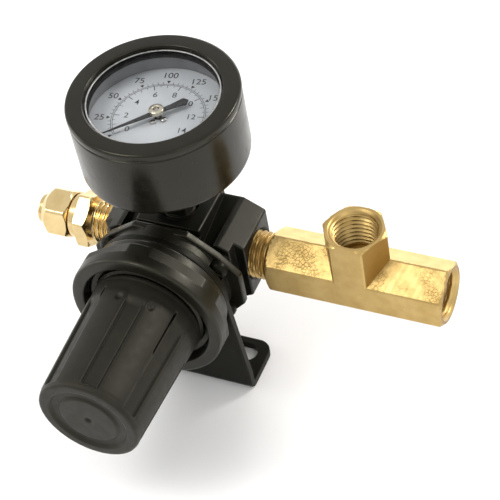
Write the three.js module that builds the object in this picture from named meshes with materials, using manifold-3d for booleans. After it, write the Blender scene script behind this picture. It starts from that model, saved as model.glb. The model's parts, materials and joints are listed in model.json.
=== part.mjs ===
// Air pressure regulator: a die-cast body with a sprung diaphragm, an adjusting knob, a steel
// mounting bracket, a pressure gauge, a brass outlet tee and a brass tube fitting.
//
// Millimetres, +Z up. The origin is the centre of the bracket foot's underside. The gauge faces
// +Z, the knob points along -Y, the tee lies along +X and the tube fitting along -X.
// Inside the group "regulator" the origin is where the port axis (X) crosses the valve axis (Y).

import * as THREE from 'three';
import { mergeVertices } from 'three/addons/utils/BufferGeometryUtils.js';
import Module from 'manifold-3d';

const wasm = await Module();
wasm.setup();

// ---------------------------------------------------------------- driving dimensions (mm)

const GAP = 0.3; // clearance kept between neighbouring pieces

// Die-cast body
const PORT_FACE_X = 20; // port faces stand this far from the valve axis
const BODY_BACK_Y = 8;
const BODY_FRONT_Y = -10;
const WAIST_Y = -7; // the body narrows between here and its front
const BODY_TOP_Z = 12;
const PORT_FACE_Z = 8.8; // half height of a port face
const BODY_SHOULDER_X = 14.2; // half width of the flat top
const WAIST_X = 17.2;
const BOSS_X = 9; // half width of the gauge port bosses
const BOSS_Z = 14.4;
const PORT_R = 6.4;
const PORT_DEPTH = 10;
const GAUGE_PORT_R = 4.8;
const GAUGE_PORT_FLOOR_Z = 9.2;
const CHAMBER_R = 6.2; // valve chamber behind the seat
const SEAT_Y = 0.6;

// Bonnet, its flange and its thread
const DIAPHRAGM_R = 14.4;
const DIAPHRAGM_Y = [-10.9, -10.1];
const FLANGE_Y = [-13, -11];
const SHOULDER_R = 17.2;
const SHOULDER_Y = -15.7;
const NECK_R = 15;
const NECK_Y = -26.4;
const TUBE_R = 11.3;
const TUBE_END_Y = -46;
const SPRING_BORE_R = 9.6;
const BONNET_SCREW_X = 15.5;
const BONNET_SCREW_Z = 7.6;

// Bracket
const PLATE_Y = [-18, -16];
const SHEET = 2;
const BEND_INNER_R = 0.6;
const BRACKET_HALF_W = 20.5;
const BRACKET_TOP_R = 18.2;
const FOOT_Z = -35.8; // underside of the foot
const FOOT_BACK_Y = -2.3;
const FOOT_CORNER_R = 4;
const SLOT_X = 13.2;
const SLOT_Y = -7.3;
const SLOT_WIDTH = 5.4;
const SLOT_LENGTH = 8.4;

// Panel nut
const NUT_Y = [-28.2, -18.3];
const NUT_R = 20.8;
const NUT_COLLAR_R = 18.6;
const NUT_FLAT_AF = 38.6;
const NUT_RECESS_R = 17.4;

// Knob and adjusting screw
const KNOB_Y = [-62, -27];
const KNOB_END_R = 13.6;
const KNOB_BASE_R = 14.9;
const KNOB_BORE_R = 12.1;
const KNOB_LOBES = 7;
const LAND_EDGES_DEG = [37, 69]; // one raised land between two flutes, seen from the knob's end
const KNOB_END_BAND = 2.6; // plain band left beyond the flutes at the knob's end
const FLUTE_WIDTH = 5;
const FLUTE_DEPTH = 0.7;
const HEX_DRIVE_AF = 9;
const SCREW_R = 3.6;
const ADJUSTER_Y = [-36.4, -32]; // spring seat nut with the spring relaxed
const THRUST_Y = -42.2;

// Gauge
const GAUGE_Y = -0.9;
const GAUGE_R = 21.7;
const CASE_BACK_Z = 32.6;
const CASE_FRONT_Z = 53.1;
const CASE_INNER_R = 19.4;
const OPENING_R = 17;
const LENS_Z = [50.2, 51.4];
const DIAL_Z = 45;
const DIAL_R = 19;
const DIAL_SCREW_PLACES = [[1.9, -0.7], [-0.4, -2.1]]; // from the gauge axis
const POINTER_Z = 46.8;
const POINTER_REST_DEG = -135;
const POINTER_TIP = 15;
const POINTER_TAIL = 8.4;
const BOURDON_R = 12.4;
const BOURDON_Z = 37.8;
const MOVEMENT_Z = [41, 44]; // arbors run between the movement's two plates
const SECTOR_Y = -6.6; // sector arbor, from the gauge axis
const SECTOR_R = 5.35;
const TAIL_PIN = [-1.9, -8.6]; // pivot between the link and the sector's tail
const TUBE_TIP = [-0.4, -12.4]; // free end of the Bourdon tube

// Brass tee
const TEE_AF = 15;
const TEE_X = [24.6, 71.9];
const BRANCH_X = 48.1;
const BRANCH_Z = 17.5;
const TAP_R = 5.7;
const TAP_MOUTH_R = 6.9;
const NIPPLE_R = 6.2; // quarter inch pipe thread, at its crests
const WATERWAY_R = 3.6;

// Tube fitting on the inlet side
const FITTING_HEX_AF = 14.2;
const FITTING_HEX_X = [-31, -27.3];
const TUBE_NUT_AF = 12.4;
const TUBE_NUT_X = [-42, -33.8];
const TUBE_NUT_TURN_DEG = -15; // the nut's flats are not in line with the fitting's
const NUT_LIP = 1.8;
const NUT_THREAD_R = 5.2;
const HOSE_R = 3;

// ---------------------------------------------------------------- shape helpers

const deg = THREE.MathUtils.degToRad;
const range = (count) => Array.from({ length: count }, (_, i) => i);

// A closed geometry as a solid, with shared vertices merged and its faces turned outward.
function solid(geometry) {
  const bare = geometry.clone();
  for (const name of Object.keys(bare.attributes)) {
    if (name !== 'position') bare.deleteAttribute(name);
  }
  const merged = mergeVertices(bare, 1e-4);
  const points = merged.attributes.position.array;
  const corners = merged.index.array;
  const kept = [];
  let volume = 0;
  for (let i = 0; i < corners.length; i += 3) {
    const [a, b, c] = [corners[i], corners[i + 1], corners[i + 2]];
    if (a === b || b === c || c === a) continue;
    const [p, q, r] = [a, b, c].map((k) => new THREE.Vector3().fromArray(points, 3 * k));
    volume += p.dot(q.cross(r));
    kept.push(a, b, c);
  }
  if (volume < 0) kept.reverse();
  return new wasm.Manifold(new wasm.Mesh({
    numProp: 3,
    vertProperties: Float32Array.from(points),
    triVerts: Uint32Array.from(kept),
  }));
}

// A solid as a geometry for a mesh.
function geometryOf(body) {
  const mesh = body.getMesh();
  const geometry = new THREE.BufferGeometry();
  geometry.setAttribute('position', new THREE.Float32BufferAttribute(mesh.vertProperties, 3));
  geometry.setIndex(Array.from(mesh.triVerts));
  geometry.computeVertexNormals();
  return geometry;
}

const join = (first, ...rest) => rest.reduce((sum, part) => sum.add(part), first);
const cut = (first, ...rest) => rest.reduce((left, part) => left.subtract(part), first);

// A profile of [radius, position] points turned about Y. A profile off the axis closes on itself.
function turned(profile, segments = 24) {
  const points = profile.map(([r, y]) => new THREE.Vector2(r, y));
  const onAxis = profile[0][0] === 0 && profile.at(-1)[0] === 0;
  if (!onAxis) points.push(points[0].clone());
  return new THREE.LatheGeometry(points, segments);
}

const aboutY = (profile, segments) => solid(turned(profile, segments));
const aboutX = (profile, segments) => solid(turned(profile, segments).rotateZ(-Math.PI / 2));
const aboutZ = (profile, segments) => solid(turned(profile, segments).rotateX(Math.PI / 2));

// A plain rod or ring between two stations.
const rod = (r, low, high) => [[0, low], [r, low], [r, high], [0, high]];
const ring = (inner, outer, low, high) => [[inner, low], [outer, low], [outer, high], [inner, high]];

// A rod or ring between two stations with chamfered outer edges.
function chamferedRod(r, low, high, c) {
  return [[0, low], [r - c, low], [r, low + c], [r, high - c], [r - c, high], [0, high]];
}

function box([x0, x1], [y0, y1], [z0, z1]) {
  const geometry = new THREE.BoxGeometry(x1 - x0, y1 - y0, z1 - z0);
  return solid(geometry.translate((x0 + x1) / 2, (y0 + y1) / 2, (z0 + z1) / 2));
}

function outline(points) {
  return new THREE.Shape(points.map(([u, v]) => new THREE.Vector2(u, v)));
}

function plate(shape, depth, curveSegments = 12) {
  return new THREE.ExtrudeGeometry(shape, { depth, bevelEnabled: false, curveSegments });
}

// An outline in X and Z, extruded along Y from one station to another.
function alongY(shape, y0, y1) {
  return solid(plate(shape, y1 - y0).rotateX(Math.PI / 2).translate(0, y1, 0));
}

// An outline in X and Y, extruded along Z.
function alongZ(shape, z0, z1) {
  return solid(plate(shape, z1 - z0).translate(0, 0, z0));
}

// A hexagon with flats across the first axis; its corners point along the second.
function hexagon(acrossFlats) {
  const r = acrossFlats / Math.sqrt(3);
  return outline(range(6).map((i) => [r * Math.sin(deg(60 * i)), r * Math.cos(deg(60 * i))]));
}

// A hexagonal bar along X with flats facing Y and its corners trimmed by cones at both ends.
function hexBarX(acrossFlats, [x0, x1], trimFactor = 0.98) {
  const r = acrossFlats / Math.sqrt(3) + 0.05;
  const trim = r - (acrossFlats / 2) * trimFactor;
  const slope = trim * 0.55;
  const profile = [[0, x0], [r - trim, x0], [r, x0 + slope], [r, x1 - slope], [r - trim, x1], [0, x1]];
  const bar = plate(hexagon(acrossFlats), x1 - x0).translate(0, 0, x0);
  const lying = bar.rotateZ(Math.PI / 2).rotateY(Math.PI / 2);
  return solid(lying).intersect(aboutX(profile));
}

// A helical wire with flat ends, wound about Y from y0 to y1.
class Helix extends THREE.Curve {
  constructor(radius, turns, y0, y1) {
    super();
    Object.assign(this, { radius, turns, y0, y1 });
  }

  getPoint(t, target = new THREE.Vector3()) {
    const angle = 2 * Math.PI * this.turns * t;
    const y = THREE.MathUtils.lerp(this.y0, this.y1, t);
    return target.set(this.radius * Math.cos(angle), y, this.radius * Math.sin(angle));
  }
}

function circleShape(r, sides) {
  return outline(range(sides).map((i) => [
    r * Math.cos((2 * Math.PI * i) / sides),
    r * Math.sin((2 * Math.PI * i) / sides),
  ]));
}

function coilSpring({ radius, wire, turns, y0, y1 }) {
  const path = new Helix(radius, turns, y0 + wire, y1 - wire);
  const steps = Math.round(turns * 10);
  return new THREE.ExtrudeGeometry(circleShape(wire, 6), { steps, bevelEnabled: false, extrudePath: path });
}

// ---------------------------------------------------------------- materials

function finish(colour, roughness, metalness) {
  return () => new THREE.MeshStandardMaterial({ color: colour, roughness, metalness });
}

const blackDiecast = finish(0x1d1b18, 0.5, 0.3);
const blackPlastic = finish(0x1a1815, 0.6, 0);
const blackSteel = finish(0x1b1a17, 0.45, 0.4);
const satinBrass = finish(0xc39a4c, 0.38, 1);
const brightBrass = finish(0xd9b566, 0.2, 1);
const plainSteel = finish(0x9a9a9a, 0.35, 1);
const blackRubber = finish(0x141414, 0.9, 0);
const clearPlastic = finish(0xe8ecec, 0.05, 0);
const greyPlastic = finish(0x7c8082, 0.6, 0);
const dialWhite = finish(0xe4e8e8, 0.6, 0);
const pointerBlack = finish(0x161616, 0.5, 0);

// ---------------------------------------------------------------- body and valve

// Half of the body's section in X and Z, mirrored to the whole.
function bodySection(portX) {
  const facetZ = THREE.MathUtils.mapLinear(portX, BODY_SHOULDER_X, PORT_FACE_X, BODY_TOP_Z, PORT_FACE_Z);
  return outline([
    [BODY_SHOULDER_X, BODY_TOP_Z], [-BODY_SHOULDER_X, BODY_TOP_Z],
    [-portX, facetZ], [-portX, -facetZ],
    [-BODY_SHOULDER_X, -BODY_TOP_Z], [BODY_SHOULDER_X, -BODY_TOP_Z],
    [portX, -facetZ], [portX, facetZ],
  ]);
}

// Places of the four bonnet screws in X and Z.
const bonnetScrewPlaces = [[1, 1], [-1, 1], [-1, -1], [1, -1]]
  .map(([sx, sz]) => [sx * BONNET_SCREW_X, sz * BONNET_SCREW_Z]);

function bodyCasting() {
  const block = alongY(bodySection(PORT_FACE_X), WAIST_Y, BODY_BACK_Y);
  const waist = alongY(bodySection(WAIST_X), BODY_FRONT_Y, WAIST_Y + 1);
  const bosses = box([-BOSS_X, BOSS_X], [BODY_FRONT_Y + 1.6, BODY_BACK_Y], [-BOSS_Z, BOSS_Z]);
  const ports = aboutX(rod(PORT_R, PORT_FACE_X - PORT_DEPTH, PORT_FACE_X + 1));
  const inletPort = aboutX(rod(PORT_R, -PORT_FACE_X - 1, -PORT_FACE_X + PORT_DEPTH));
  const gaugePort = aboutZ(rod(GAUGE_PORT_R, GAUGE_PORT_FLOOR_Z, BOSS_Z + 1));
  const plugPort = aboutZ(rod(GAUGE_PORT_R, -BOSS_Z - 1, -GAUGE_PORT_FLOOR_Z));
  const gaugeWay = aboutZ(rod(1.2, -GAUGE_PORT_FLOOR_Z - 1, GAUGE_PORT_FLOOR_Z + 1))
    .translate(0, GAUGE_Y - 3, 0);
  const outlet = box([0, PORT_FACE_X - PORT_DEPTH + 1], [-5.2, -2], [-2.2, 2.2]);
  const inlet = box([-PORT_FACE_X + PORT_DEPTH - 1, 0], [2.6, 5.4], [-2.2, 2.2]);
  const lowChamber = aboutY(rod(4.4, BODY_FRONT_Y - 1, SEAT_Y - 2));
  const seatBore = aboutY(rod(3.5, SEAT_Y - 3, SEAT_Y + 1));
  const valveChamber = aboutY(rod(CHAMBER_R, SEAT_Y, BODY_BACK_Y + 1));
  const diaphragmDish = aboutY([
    [0, BODY_FRONT_Y - 1], [12.6, BODY_FRONT_Y - 1], [11.4, -9], [8, -7.4], [0, -7.4],
  ], 32);
  const screwHoles = bonnetScrewPlaces.map(([x, z]) => (
    aboutY(rod(1.55, BODY_FRONT_Y - 1, -4.6), 20).translate(x, 0, z)));
  return cut(
    join(block, waist, bosses),
    ports, inletPort, gaugePort.translate(0, GAUGE_Y, 0), plugPort.translate(0, GAUGE_Y, 0),
    gaugeWay, outlet, inlet, lowChamber, seatBore, valveChamber, diaphragmDish, ...screwHoles,
  );
}

// Flanged seat ring, pressed into the wall between the two chambers.
function valveSeat() {
  return aboutY([
    [2.1, -1.6], [3.2, -1.6], [3.2, 0.9], [5.6, 0.9], [5.6, 1.7], [2.5, 1.7], [2.1, 1.3],
  ], 24);
}

function valvePoppet() {
  return aboutY([[0, 2], [4.1, 2], [4.1, 3.6], [2, 4], [2, 7.2], [0, 7.2]], 20);
}

function valveStem() {
  return aboutY([[0, -8.5], [1, -8.5], [1, 1.7], [0, 1.7]], 20);
}

// Plug of the second gauge port, underneath, with a hexagonal key hole.
function gaugePortPlug() {
  const thread = aboutZ(rod(4.5, -BOSS_Z - 0.2, -GAUGE_PORT_FLOOR_Z - 0.4), 20);
  const keyHole = alongZ(hexagon(5), -BOSS_Z - 1, -12);
  return cut(thread, keyHole).translate(0, GAUGE_Y, 0);
}

// Rear plug that closes the valve chamber and guides the poppet's tail.
function bottomPlug() {
  const hexHead = alongY(hexagon(15.5), BODY_BACK_Y + 1.4, BODY_BACK_Y + 5);
  const spigot = aboutY(rod(5.9, 6.6, BODY_BACK_Y + 1.6));
  const flange = aboutY(chamferedRod(9.4, BODY_BACK_Y + GAP, BODY_BACK_Y + 2, 0.4));
  const guide = aboutY(rod(3.8, 6, BODY_BACK_Y + 1.5), 20);
  const tailBore = aboutY(rod(2.4, 6, BODY_BACK_Y + 3.6), 24);
  return cut(join(hexHead, spigot, flange), guide, tailBore);
}

// ---------------------------------------------------------------- bonnet and pressure setting

// Flange outline in X and Z: a square with broad corners and side lugs.
function flangeShape() {
  const quarter = [[20.6, 5.2], [15.4, 11], [7.5, 16.8]];
  const upper = [...quarter, ...quarter.map(([x, z]) => [-x, z]).reverse()];
  const lower = upper.map(([x, z]) => [-x, -z]);
  return outline([...upper, ...lower]);
}

function bonnet() {
  const flange = alongY(flangeShape(), FLANGE_Y[0], FLANGE_Y[1]);
  const turnedPart = aboutY([
    [0, -12], [SHOULDER_R, -12], [SHOULDER_R, SHOULDER_Y], [NECK_R, SHOULDER_Y],
    [NECK_R, NECK_Y + 0.8], [NECK_R - 0.8, NECK_Y], [TUBE_R, NECK_Y],
    [TUBE_R, TUBE_END_Y + 1], [TUBE_R - 1, TUBE_END_Y], [0, TUBE_END_Y],
  ], 24);
  const dish = aboutY([[0, -10.5], [12.4, -10.5], [12.4, -12], [SPRING_BORE_R, -14.6], [0, -14.6]]);
  const springBore = aboutY(rod(SPRING_BORE_R, THRUST_Y, -14));
  const neckHole = aboutY(rod(3.1, TUBE_END_Y - 1, THRUST_Y), 20);
  const keys = [-1, 1].map((side) => (
    box([side * 8.9 - 1, side * 8.9 + 1], [THRUST_Y + 1, -16], [-1.2, 1.2])));
  const pockets = bonnetScrewPlaces.map(([x, z]) => (
    aboutY(rod(2.9, SHOULDER_Y - 0.2, FLANGE_Y[0]), 24).translate(x, 0, z)));
  const holes = bonnetScrewPlaces.map(([x, z]) => (
    aboutY(rod(1.6, FLANGE_Y[0] - 1, FLANGE_Y[1] + 1), 20).translate(x, 0, z)));
  const hollow = cut(join(flange, turnedPart), dish, springBore, neckHole, ...pockets, ...holes);
  return join(hollow, ...keys);
}

// Pan-head screw along Y, driven from the knob side, with a cross recess.
function bonnetScrew() {
  const shank = aboutY(rod(1.3, -14, -5), 20);
  const head = aboutY([[0, -15.2], [1.6, -15.2], [2.5, -14.5], [2.5, -13.2], [0, -13.2]], 24);
  const cross = [0, 90].map((turn) => (
    box([-1.4, 1.4], [-15.4, -14.4], [-0.3, 0.3]).rotate([0, turn, 0])));
  return cut(join(shank, head), ...cross);
}

function diaphragm() {
  return aboutY(ring(2.4, DIAPHRAGM_R, DIAPHRAGM_Y[0], DIAPHRAGM_Y[1]), 28);
}

// Metal plate above the diaphragm, with the spring's seat.
function diaphragmPlate() {
  return aboutY([
    [0, -12.4], [3.8, -12.4], [3.8, -14.6], [5, -14.6], [5, -13], [9, -12.6], [10.2, -11.2], [0, -11.2],
  ], 40);
}

// Relief boss through the diaphragm: it presses on the valve stem.
function reliefBoss() {
  return aboutY([[0, -10.9], [2.1, -10.9], [2.1, -9.8], [6.4, -9.8], [6.4, -9.2], [0, -8.9]], 20);
}

// Spring seat nut: two slots slide on the bonnet's keys.
function adjustingNut() {
  const [low, high] = ADJUSTER_Y;
  const turnedPart = aboutY([
    [SCREW_R + 0.25, low], [9.2, low], [9.2, high - 1.6], [4.9, high - 1.6], [4.9, high],
    [SCREW_R + 0.25, high],
  ], 48);
  const slots = [-1, 1].map((side) => (
    box([side * 9 - 1.8, side * 9 + 1.8], [low - 1, high + 1], [-1.6, 1.6])));
  return cut(turnedPart, ...slots);
}

function adjustingScrew() {
  const shank = aboutY([
    [0, -25.4], [SCREW_R - 0.6, -25.4], [SCREW_R, -26], [SCREW_R, -40.6], [7.4, -40.6],
    [7.4, THRUST_Y + 0.2], [2.8, THRUST_Y + 0.2], [2.8, -47], [0, -47],
  ], 24);
  return shank.add(alongY(hexagon(HEX_DRIVE_AF), -55, TUBE_END_Y - 0.4));
}

// Outer radius of the knob at a station, between its base and its end.
function knobRadius(y) {
  return THREE.MathUtils.mapLinear(y, KNOB_Y[1], KNOB_Y[0], KNOB_BASE_R, KNOB_END_R);
}

// A slab that stands on the bottom of one flute, turned about Y to the flute's middle.
function fluteCutter(middleDeg) {
  const far = KNOB_Y[0] + KNOB_END_BAND;
  const near = KNOB_Y[1] - 6;
  const floor = (y) => knobRadius(y) - FLUTE_DEPTH;
  const side = outline([
    [floor(far), far], [floor(near), near], [floor(near) + 4, near], [floor(far) + 4, far],
  ]);
  const slab = plate(side, FLUTE_WIDTH).translate(0, 0, -FLUTE_WIDTH / 2);
  return solid(slab).rotate([0, -middleDeg, 0]);
}

function knob() {
  const [end, base] = KNOB_Y;
  const shell = aboutY([
    [0, end + 0.7], [9.6, end + 0.7], [9.9, end + 0.3], [10.2, end], [11.3, end],
    [12.6, end + 0.5], [KNOB_END_R - 0.2, end + 1.6], [KNOB_END_R, end + 3],
    [KNOB_BASE_R, base - 0.6], [KNOB_BASE_R - 0.6, base], [KNOB_BORE_R, base],
    [KNOB_BORE_R, TUBE_END_Y - 4], [0, TUBE_END_Y - 4],
  ], 42);
  const hub = aboutY(rod(7.4, end + 2, TUBE_END_Y - 1.2), 20);
  const socket = alongY(hexagon(HEX_DRIVE_AF + 0.8), end + 2, TUBE_END_Y);
  const pitch = 360 / KNOB_LOBES;
  const firstFlute = (LAND_EDGES_DEG[0] + LAND_EDGES_DEG[1] + pitch) / 2;
  const flutes = range(KNOB_LOBES).map((i) => fluteCutter(firstFlute + i * pitch));
  return cut(join(shell, hub), socket, ...flutes);
}

// ---------------------------------------------------------------- bracket and panel nut

// The bracket's upright in X and Z: a round top over a foot-wide plate.
function uprightShape() {
  const overhang = 6; // the round top runs this many degrees past its widest points
  const arc = range(25).map((i) => {
    const angle = deg(THREE.MathUtils.lerp(-overhang, 180 + overhang, i / 24));
    return [BRACKET_TOP_R * Math.cos(angle), BRACKET_TOP_R * Math.sin(angle)];
  });
  return outline([
    ...arc,
    [-BRACKET_HALF_W, FOOT_Z + 6], [-BRACKET_HALF_W, FOOT_Z],
    [BRACKET_HALF_W, FOOT_Z], [BRACKET_HALF_W, FOOT_Z + 6],
  ]);
}

// The foot in X and Y, with rounded corners and two slots.
function footShape() {
  const left = -BRACKET_HALF_W;
  const right = BRACKET_HALF_W;
  const cornerY = FOOT_BACK_Y - FOOT_CORNER_R;
  const foot = new THREE.Shape();
  foot.moveTo(left, PLATE_Y[0]);
  foot.lineTo(right, PLATE_Y[0]);
  foot.lineTo(right, cornerY);
  foot.absarc(right - FOOT_CORNER_R, cornerY, FOOT_CORNER_R, 0, Math.PI / 2);
  foot.lineTo(left + FOOT_CORNER_R, FOOT_BACK_Y);
  foot.absarc(left + FOOT_CORNER_R, cornerY, FOOT_CORNER_R, Math.PI / 2, Math.PI);
  for (const side of [-1, 1]) foot.holes.push(slotPath(side * SLOT_X, SLOT_Y));
  return foot;
}

function bracket() {
  const upright = alongY(uprightShape(), PLATE_Y[0], PLATE_Y[1]);
  const foot = alongZ(footShape(), FOOT_Z, FOOT_Z + SHEET);
  const bendAxisY = PLATE_Y[1] + BEND_INNER_R;
  const bendAxisZ = FOOT_Z + SHEET + BEND_INNER_R;
  const outside = aboutX(ring(SHEET + BEND_INNER_R, 2 * SHEET + 2, -30, 30), 40)
    .translate(0, bendAxisY, bendAxisZ);
  const corner = box([-30, 30], [PLATE_Y[0] - 5, bendAxisY], [FOOT_Z - 5, bendAxisZ]);
  const neckHole = aboutY(rod(NECK_R + GAP, PLATE_Y[0] - 1, PLATE_Y[1] + 1), 24);
  return cut(join(upright, foot), outside.intersect(corner), neckHole);
}

// A slot along X as a hole path, with round ends.
function slotPath(x, y) {
  const r = SLOT_WIDTH / 2;
  const reach = SLOT_LENGTH / 2 - r;
  const path = new THREE.Path();
  path.absarc(x + reach, y, r, -Math.PI / 2, Math.PI / 2);
  path.absarc(x - reach, y, r, Math.PI / 2, 1.5 * Math.PI);
  path.closePath();
  return path;
}

function panelNut() {
  const [front, back] = NUT_Y;
  const round = aboutY([
    [NECK_R + GAP, back], [NUT_COLLAR_R - 0.5, back], [NUT_COLLAR_R, back - 0.5],
    [NUT_COLLAR_R, back - 2.6], [NUT_R, back - 3.4], [NUT_R, front + 1], [NUT_R - 1, front],
    [NUT_RECESS_R, front], [NUT_RECESS_R - 0.6, front + 3], [NECK_R + GAP, front + 3.4],
  ], 40);
  const flats = alongY(hexagon(NUT_FLAT_AF), front + 3.2, back + 1);
  const rim = aboutY(rod(NUT_R + 1, front - 1, front + 3.2), 40);
  return round.intersect(join(flats, rim));
}

// ---------------------------------------------------------------- brass tee and tube fitting

function tee() {
  const [left, right] = TEE_X;
  const run = hexBarX(TEE_AF, TEE_X);
  const branch = hexBarX(TEE_AF, [0, BRANCH_Z]).rotate([0, -90, 0]).translate(BRANCH_X, 0, 0);
  const nipple = aboutX([
    [0, 11], [NIPPLE_R - 0.2, 11], [NIPPLE_R - 0.1, 11.6], [NIPPLE_R, left + 1], [0, left + 1],
  ]);
  const runBore = aboutX([
    [0, 58], [TAP_R, 58], [TAP_R, right - 1.2], [TAP_MOUTH_R, right],
    [TAP_MOUTH_R, right + 1], [0, right + 1],
  ]);
  const through = aboutX(rod(WATERWAY_R, 10, 60), 20);
  const branchBore = aboutZ([
    [0, 0], [WATERWAY_R, 0], [WATERWAY_R, 4.6], [TAP_R, 5.8], [TAP_R, BRANCH_Z - 1.2],
    [TAP_MOUTH_R, BRANCH_Z], [TAP_MOUTH_R, BRANCH_Z + 1], [0, BRANCH_Z + 1],
  ]).translate(BRANCH_X, 0, 0);
  return cut(join(run, branch, nipple), runBore, through, branchBore);
}

function fittingBody() {
  const [hexLeft, hexRight] = FITTING_HEX_X;
  const tubeR = HOSE_R + GAP / 2;
  const hex = hexBarX(FITTING_HEX_AF, FITTING_HEX_X);
  const thread = aboutX([
    [0, hexRight - 1], [NIPPLE_R, hexRight - 1], [NIPPLE_R, -12], [NIPPLE_R - 0.3, -11], [0, -11],
  ]);
  const studR = NUT_THREAD_R - GAP;
  const collarX = TUBE_NUT_X[1] + GAP;
  const stud = aboutX([
    [0, -38.6], [4.3, -38.6], [studR, -37.9], [studR, collarX], [6, collarX],
    [6, hexLeft + 1], [0, hexLeft + 1],
  ]);
  const bore = aboutX([
    [0, -39], [3.9, -39], [tubeR, -37.6], [tubeR, -28], [2.4, -28], [2.4, -10], [0, -10],
  ], 20);
  return cut(join(hex, thread, stud), bore);
}

function tubeNut() {
  const [left, right] = TUBE_NUT_X;
  const end = left - NUT_LIP;
  const hex = hexBarX(TUBE_NUT_AF, TUBE_NUT_X, 0.9).rotate([TUBE_NUT_TURN_DEG, 0, 0]);
  const lip = aboutX([[0, end], [3.7, end], [4.1, end + 0.4], [4.1, left + 1], [0, left + 1]], 24);
  const thread = aboutX(rod(NUT_THREAD_R, -40.2, right + 1), 24);
  const tubeHole = aboutX(rod(HOSE_R + 0.25, end - 1, -38), 20);
  return cut(join(hex, lip), thread, tubeHole);
}

// Compression ring between the nut and the fitting's cone.
function ferrule() {
  const tubeR = HOSE_R + GAP / 2;
  return aboutX([[tubeR, -40], [4.6, -40], [4.8, -39.5], [4.2, -38.9], [tubeR, -38.9]], 24);
}

// ---------------------------------------------------------------- gauge

const gaugeTurned = (profile, segments) => aboutZ(profile, segments).translate(0, GAUGE_Y, 0);

function gaugeCase() {
  const back = CASE_BACK_Z;
  const front = CASE_FRONT_Z;
  return gaugeTurned([
    [4.9, back], [GAUGE_R - 1.4, back], [GAUGE_R - 0.4, back + 0.5], [GAUGE_R - 0.1, back + 1.4],
    [GAUGE_R, front - 1.2], [GAUGE_R - 0.5, front - 0.3], [GAUGE_R - 1.3, front],
    [OPENING_R + 0.5, front], [OPENING_R, front - 0.6], [OPENING_R, front - 1.4],
    [DIAL_R - 0.4, front - 1.4], [DIAL_R - 0.4, DIAL_Z + 1], [CASE_INNER_R, DIAL_Z + 1],
    [CASE_INNER_R, back + 2], [4.9, back + 2],
  ], 40);
}

function gaugeLens() {
  const [low, high] = LENS_Z;
  const middleR = OPENING_R - 0.4;
  return gaugeTurned([
    [0, low], [18.3, low], [18.3, high], [middleR, high], [middleR, high + 0.4], [0, high + 0.4],
  ], 40);
}

function dialRing() {
  const top = LENS_Z[0] - GAP;
  return gaugeTurned([[17.6, DIAL_Z + 0.2], [18.3, DIAL_Z + 0.2], [18.3, top], [16.7, top]], 40);
}

function gaugeDial() {
  const disc = gaugeTurned(rod(DIAL_R, DIAL_Z - 0.6, DIAL_Z), 40);
  const hole = gaugeTurned(rod(1, DIAL_Z - 2, DIAL_Z + 1), 20);
  const screwHoles = DIAL_SCREW_PLACES.map(([x, y]) => (
    gaugeTurned(rod(0.5, DIAL_Z - 2, DIAL_Z + 1), 12).translate(x, y, 0)));
  return cut(disc, hole, ...screwHoles);
}

function dialScrew() {
  const head = gaugeTurned([
    [0, DIAL_Z + 0.1], [0.8, DIAL_Z + 0.1], [0.7, DIAL_Z + 0.6], [0, DIAL_Z + 0.75],
  ], 20);
  return head.add(gaugeTurned(rod(0.4, DIAL_Z - 0.9, DIAL_Z + 0.2), 12));
}

// Brass socket: threaded stem, wrench square, and the block that carries the Bourdon tube.
function gaugeSocket() {
  const thread = gaugeTurned(rod(4.5, GAUGE_PORT_FLOOR_Z + 0.4, BOSS_Z + 1.5), 24);
  const square = box([-4.7, 4.7], [GAUGE_Y - 4.7, GAUGE_Y + 4.7], [BOSS_Z + 0.6, 27]);
  const stem = gaugeTurned(rod(4.6, 26, 36), 24);
  const block = box([-13.8, 5], [GAUGE_Y - 3.2, GAUGE_Y + 3.2], [34.9, 40.6]);
  const bore = gaugeTurned(rod(1.2, 8, 38), 16);
  return cut(join(thread, square, stem, block), bore);
}

// C-shaped pressure tube of flattened section around the gauge axis.
class Arc extends THREE.Curve {
  constructor(radius, from, to, z) {
    super();
    Object.assign(this, { radius, from, to, z });
  }

  getPoint(t, target = new THREE.Vector3()) {
    const angle = deg(THREE.MathUtils.lerp(this.from, this.to, t));
    return target.set(this.radius * Math.cos(angle), GAUGE_Y + this.radius * Math.sin(angle), this.z);
  }
}

function bourdonTube() {
  const section = outline(range(12).map((i) => [
    2.1 * Math.cos(deg(30 * i)),
    0.8 * Math.sin(deg(30 * i)),
  ]));
  const path = new Arc(BOURDON_R, 162, -92, BOURDON_Z);
  return new THREE.ExtrudeGeometry(section, { steps: 24, bevelEnabled: false, extrudePath: path });
}

// Two plates and two pillars that carry the pinion and the sector.
function movementFrame() {
  const low = box([-6, 6], [GAUGE_Y - 8.6, GAUGE_Y + 3.6], [40.9, 41.5]);
  const high = box([-6, 6], [GAUGE_Y - 8.6, GAUGE_Y + 3.6], [43.6, 44.1]);
  const pillars = [-1, 1].map((side) => (
    aboutZ(rod(0.8, 41, 44), 16).translate(side * 4.9, GAUGE_Y + 2.4, 0)));
  const pivotHoles = [0, SECTOR_Y].map((y) => (
    gaugeTurned(rod(0.75, 38, 46), 16).translate(0, y, 0)));
  return cut(join(low, high, ...pillars), ...pivotHoles);
}

function pinionArbor() {
  const [low, high] = MOVEMENT_Z;
  return gaugeTurned([
    [0, low], [0.55, low], [0.55, low + 0.8], [1.1, low + 0.8], [1.1, high - 0.7],
    [0.55, high - 0.7], [0.55, POINTER_Z + 1], [0, POINTER_Z + 1],
  ], 20);
}

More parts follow.
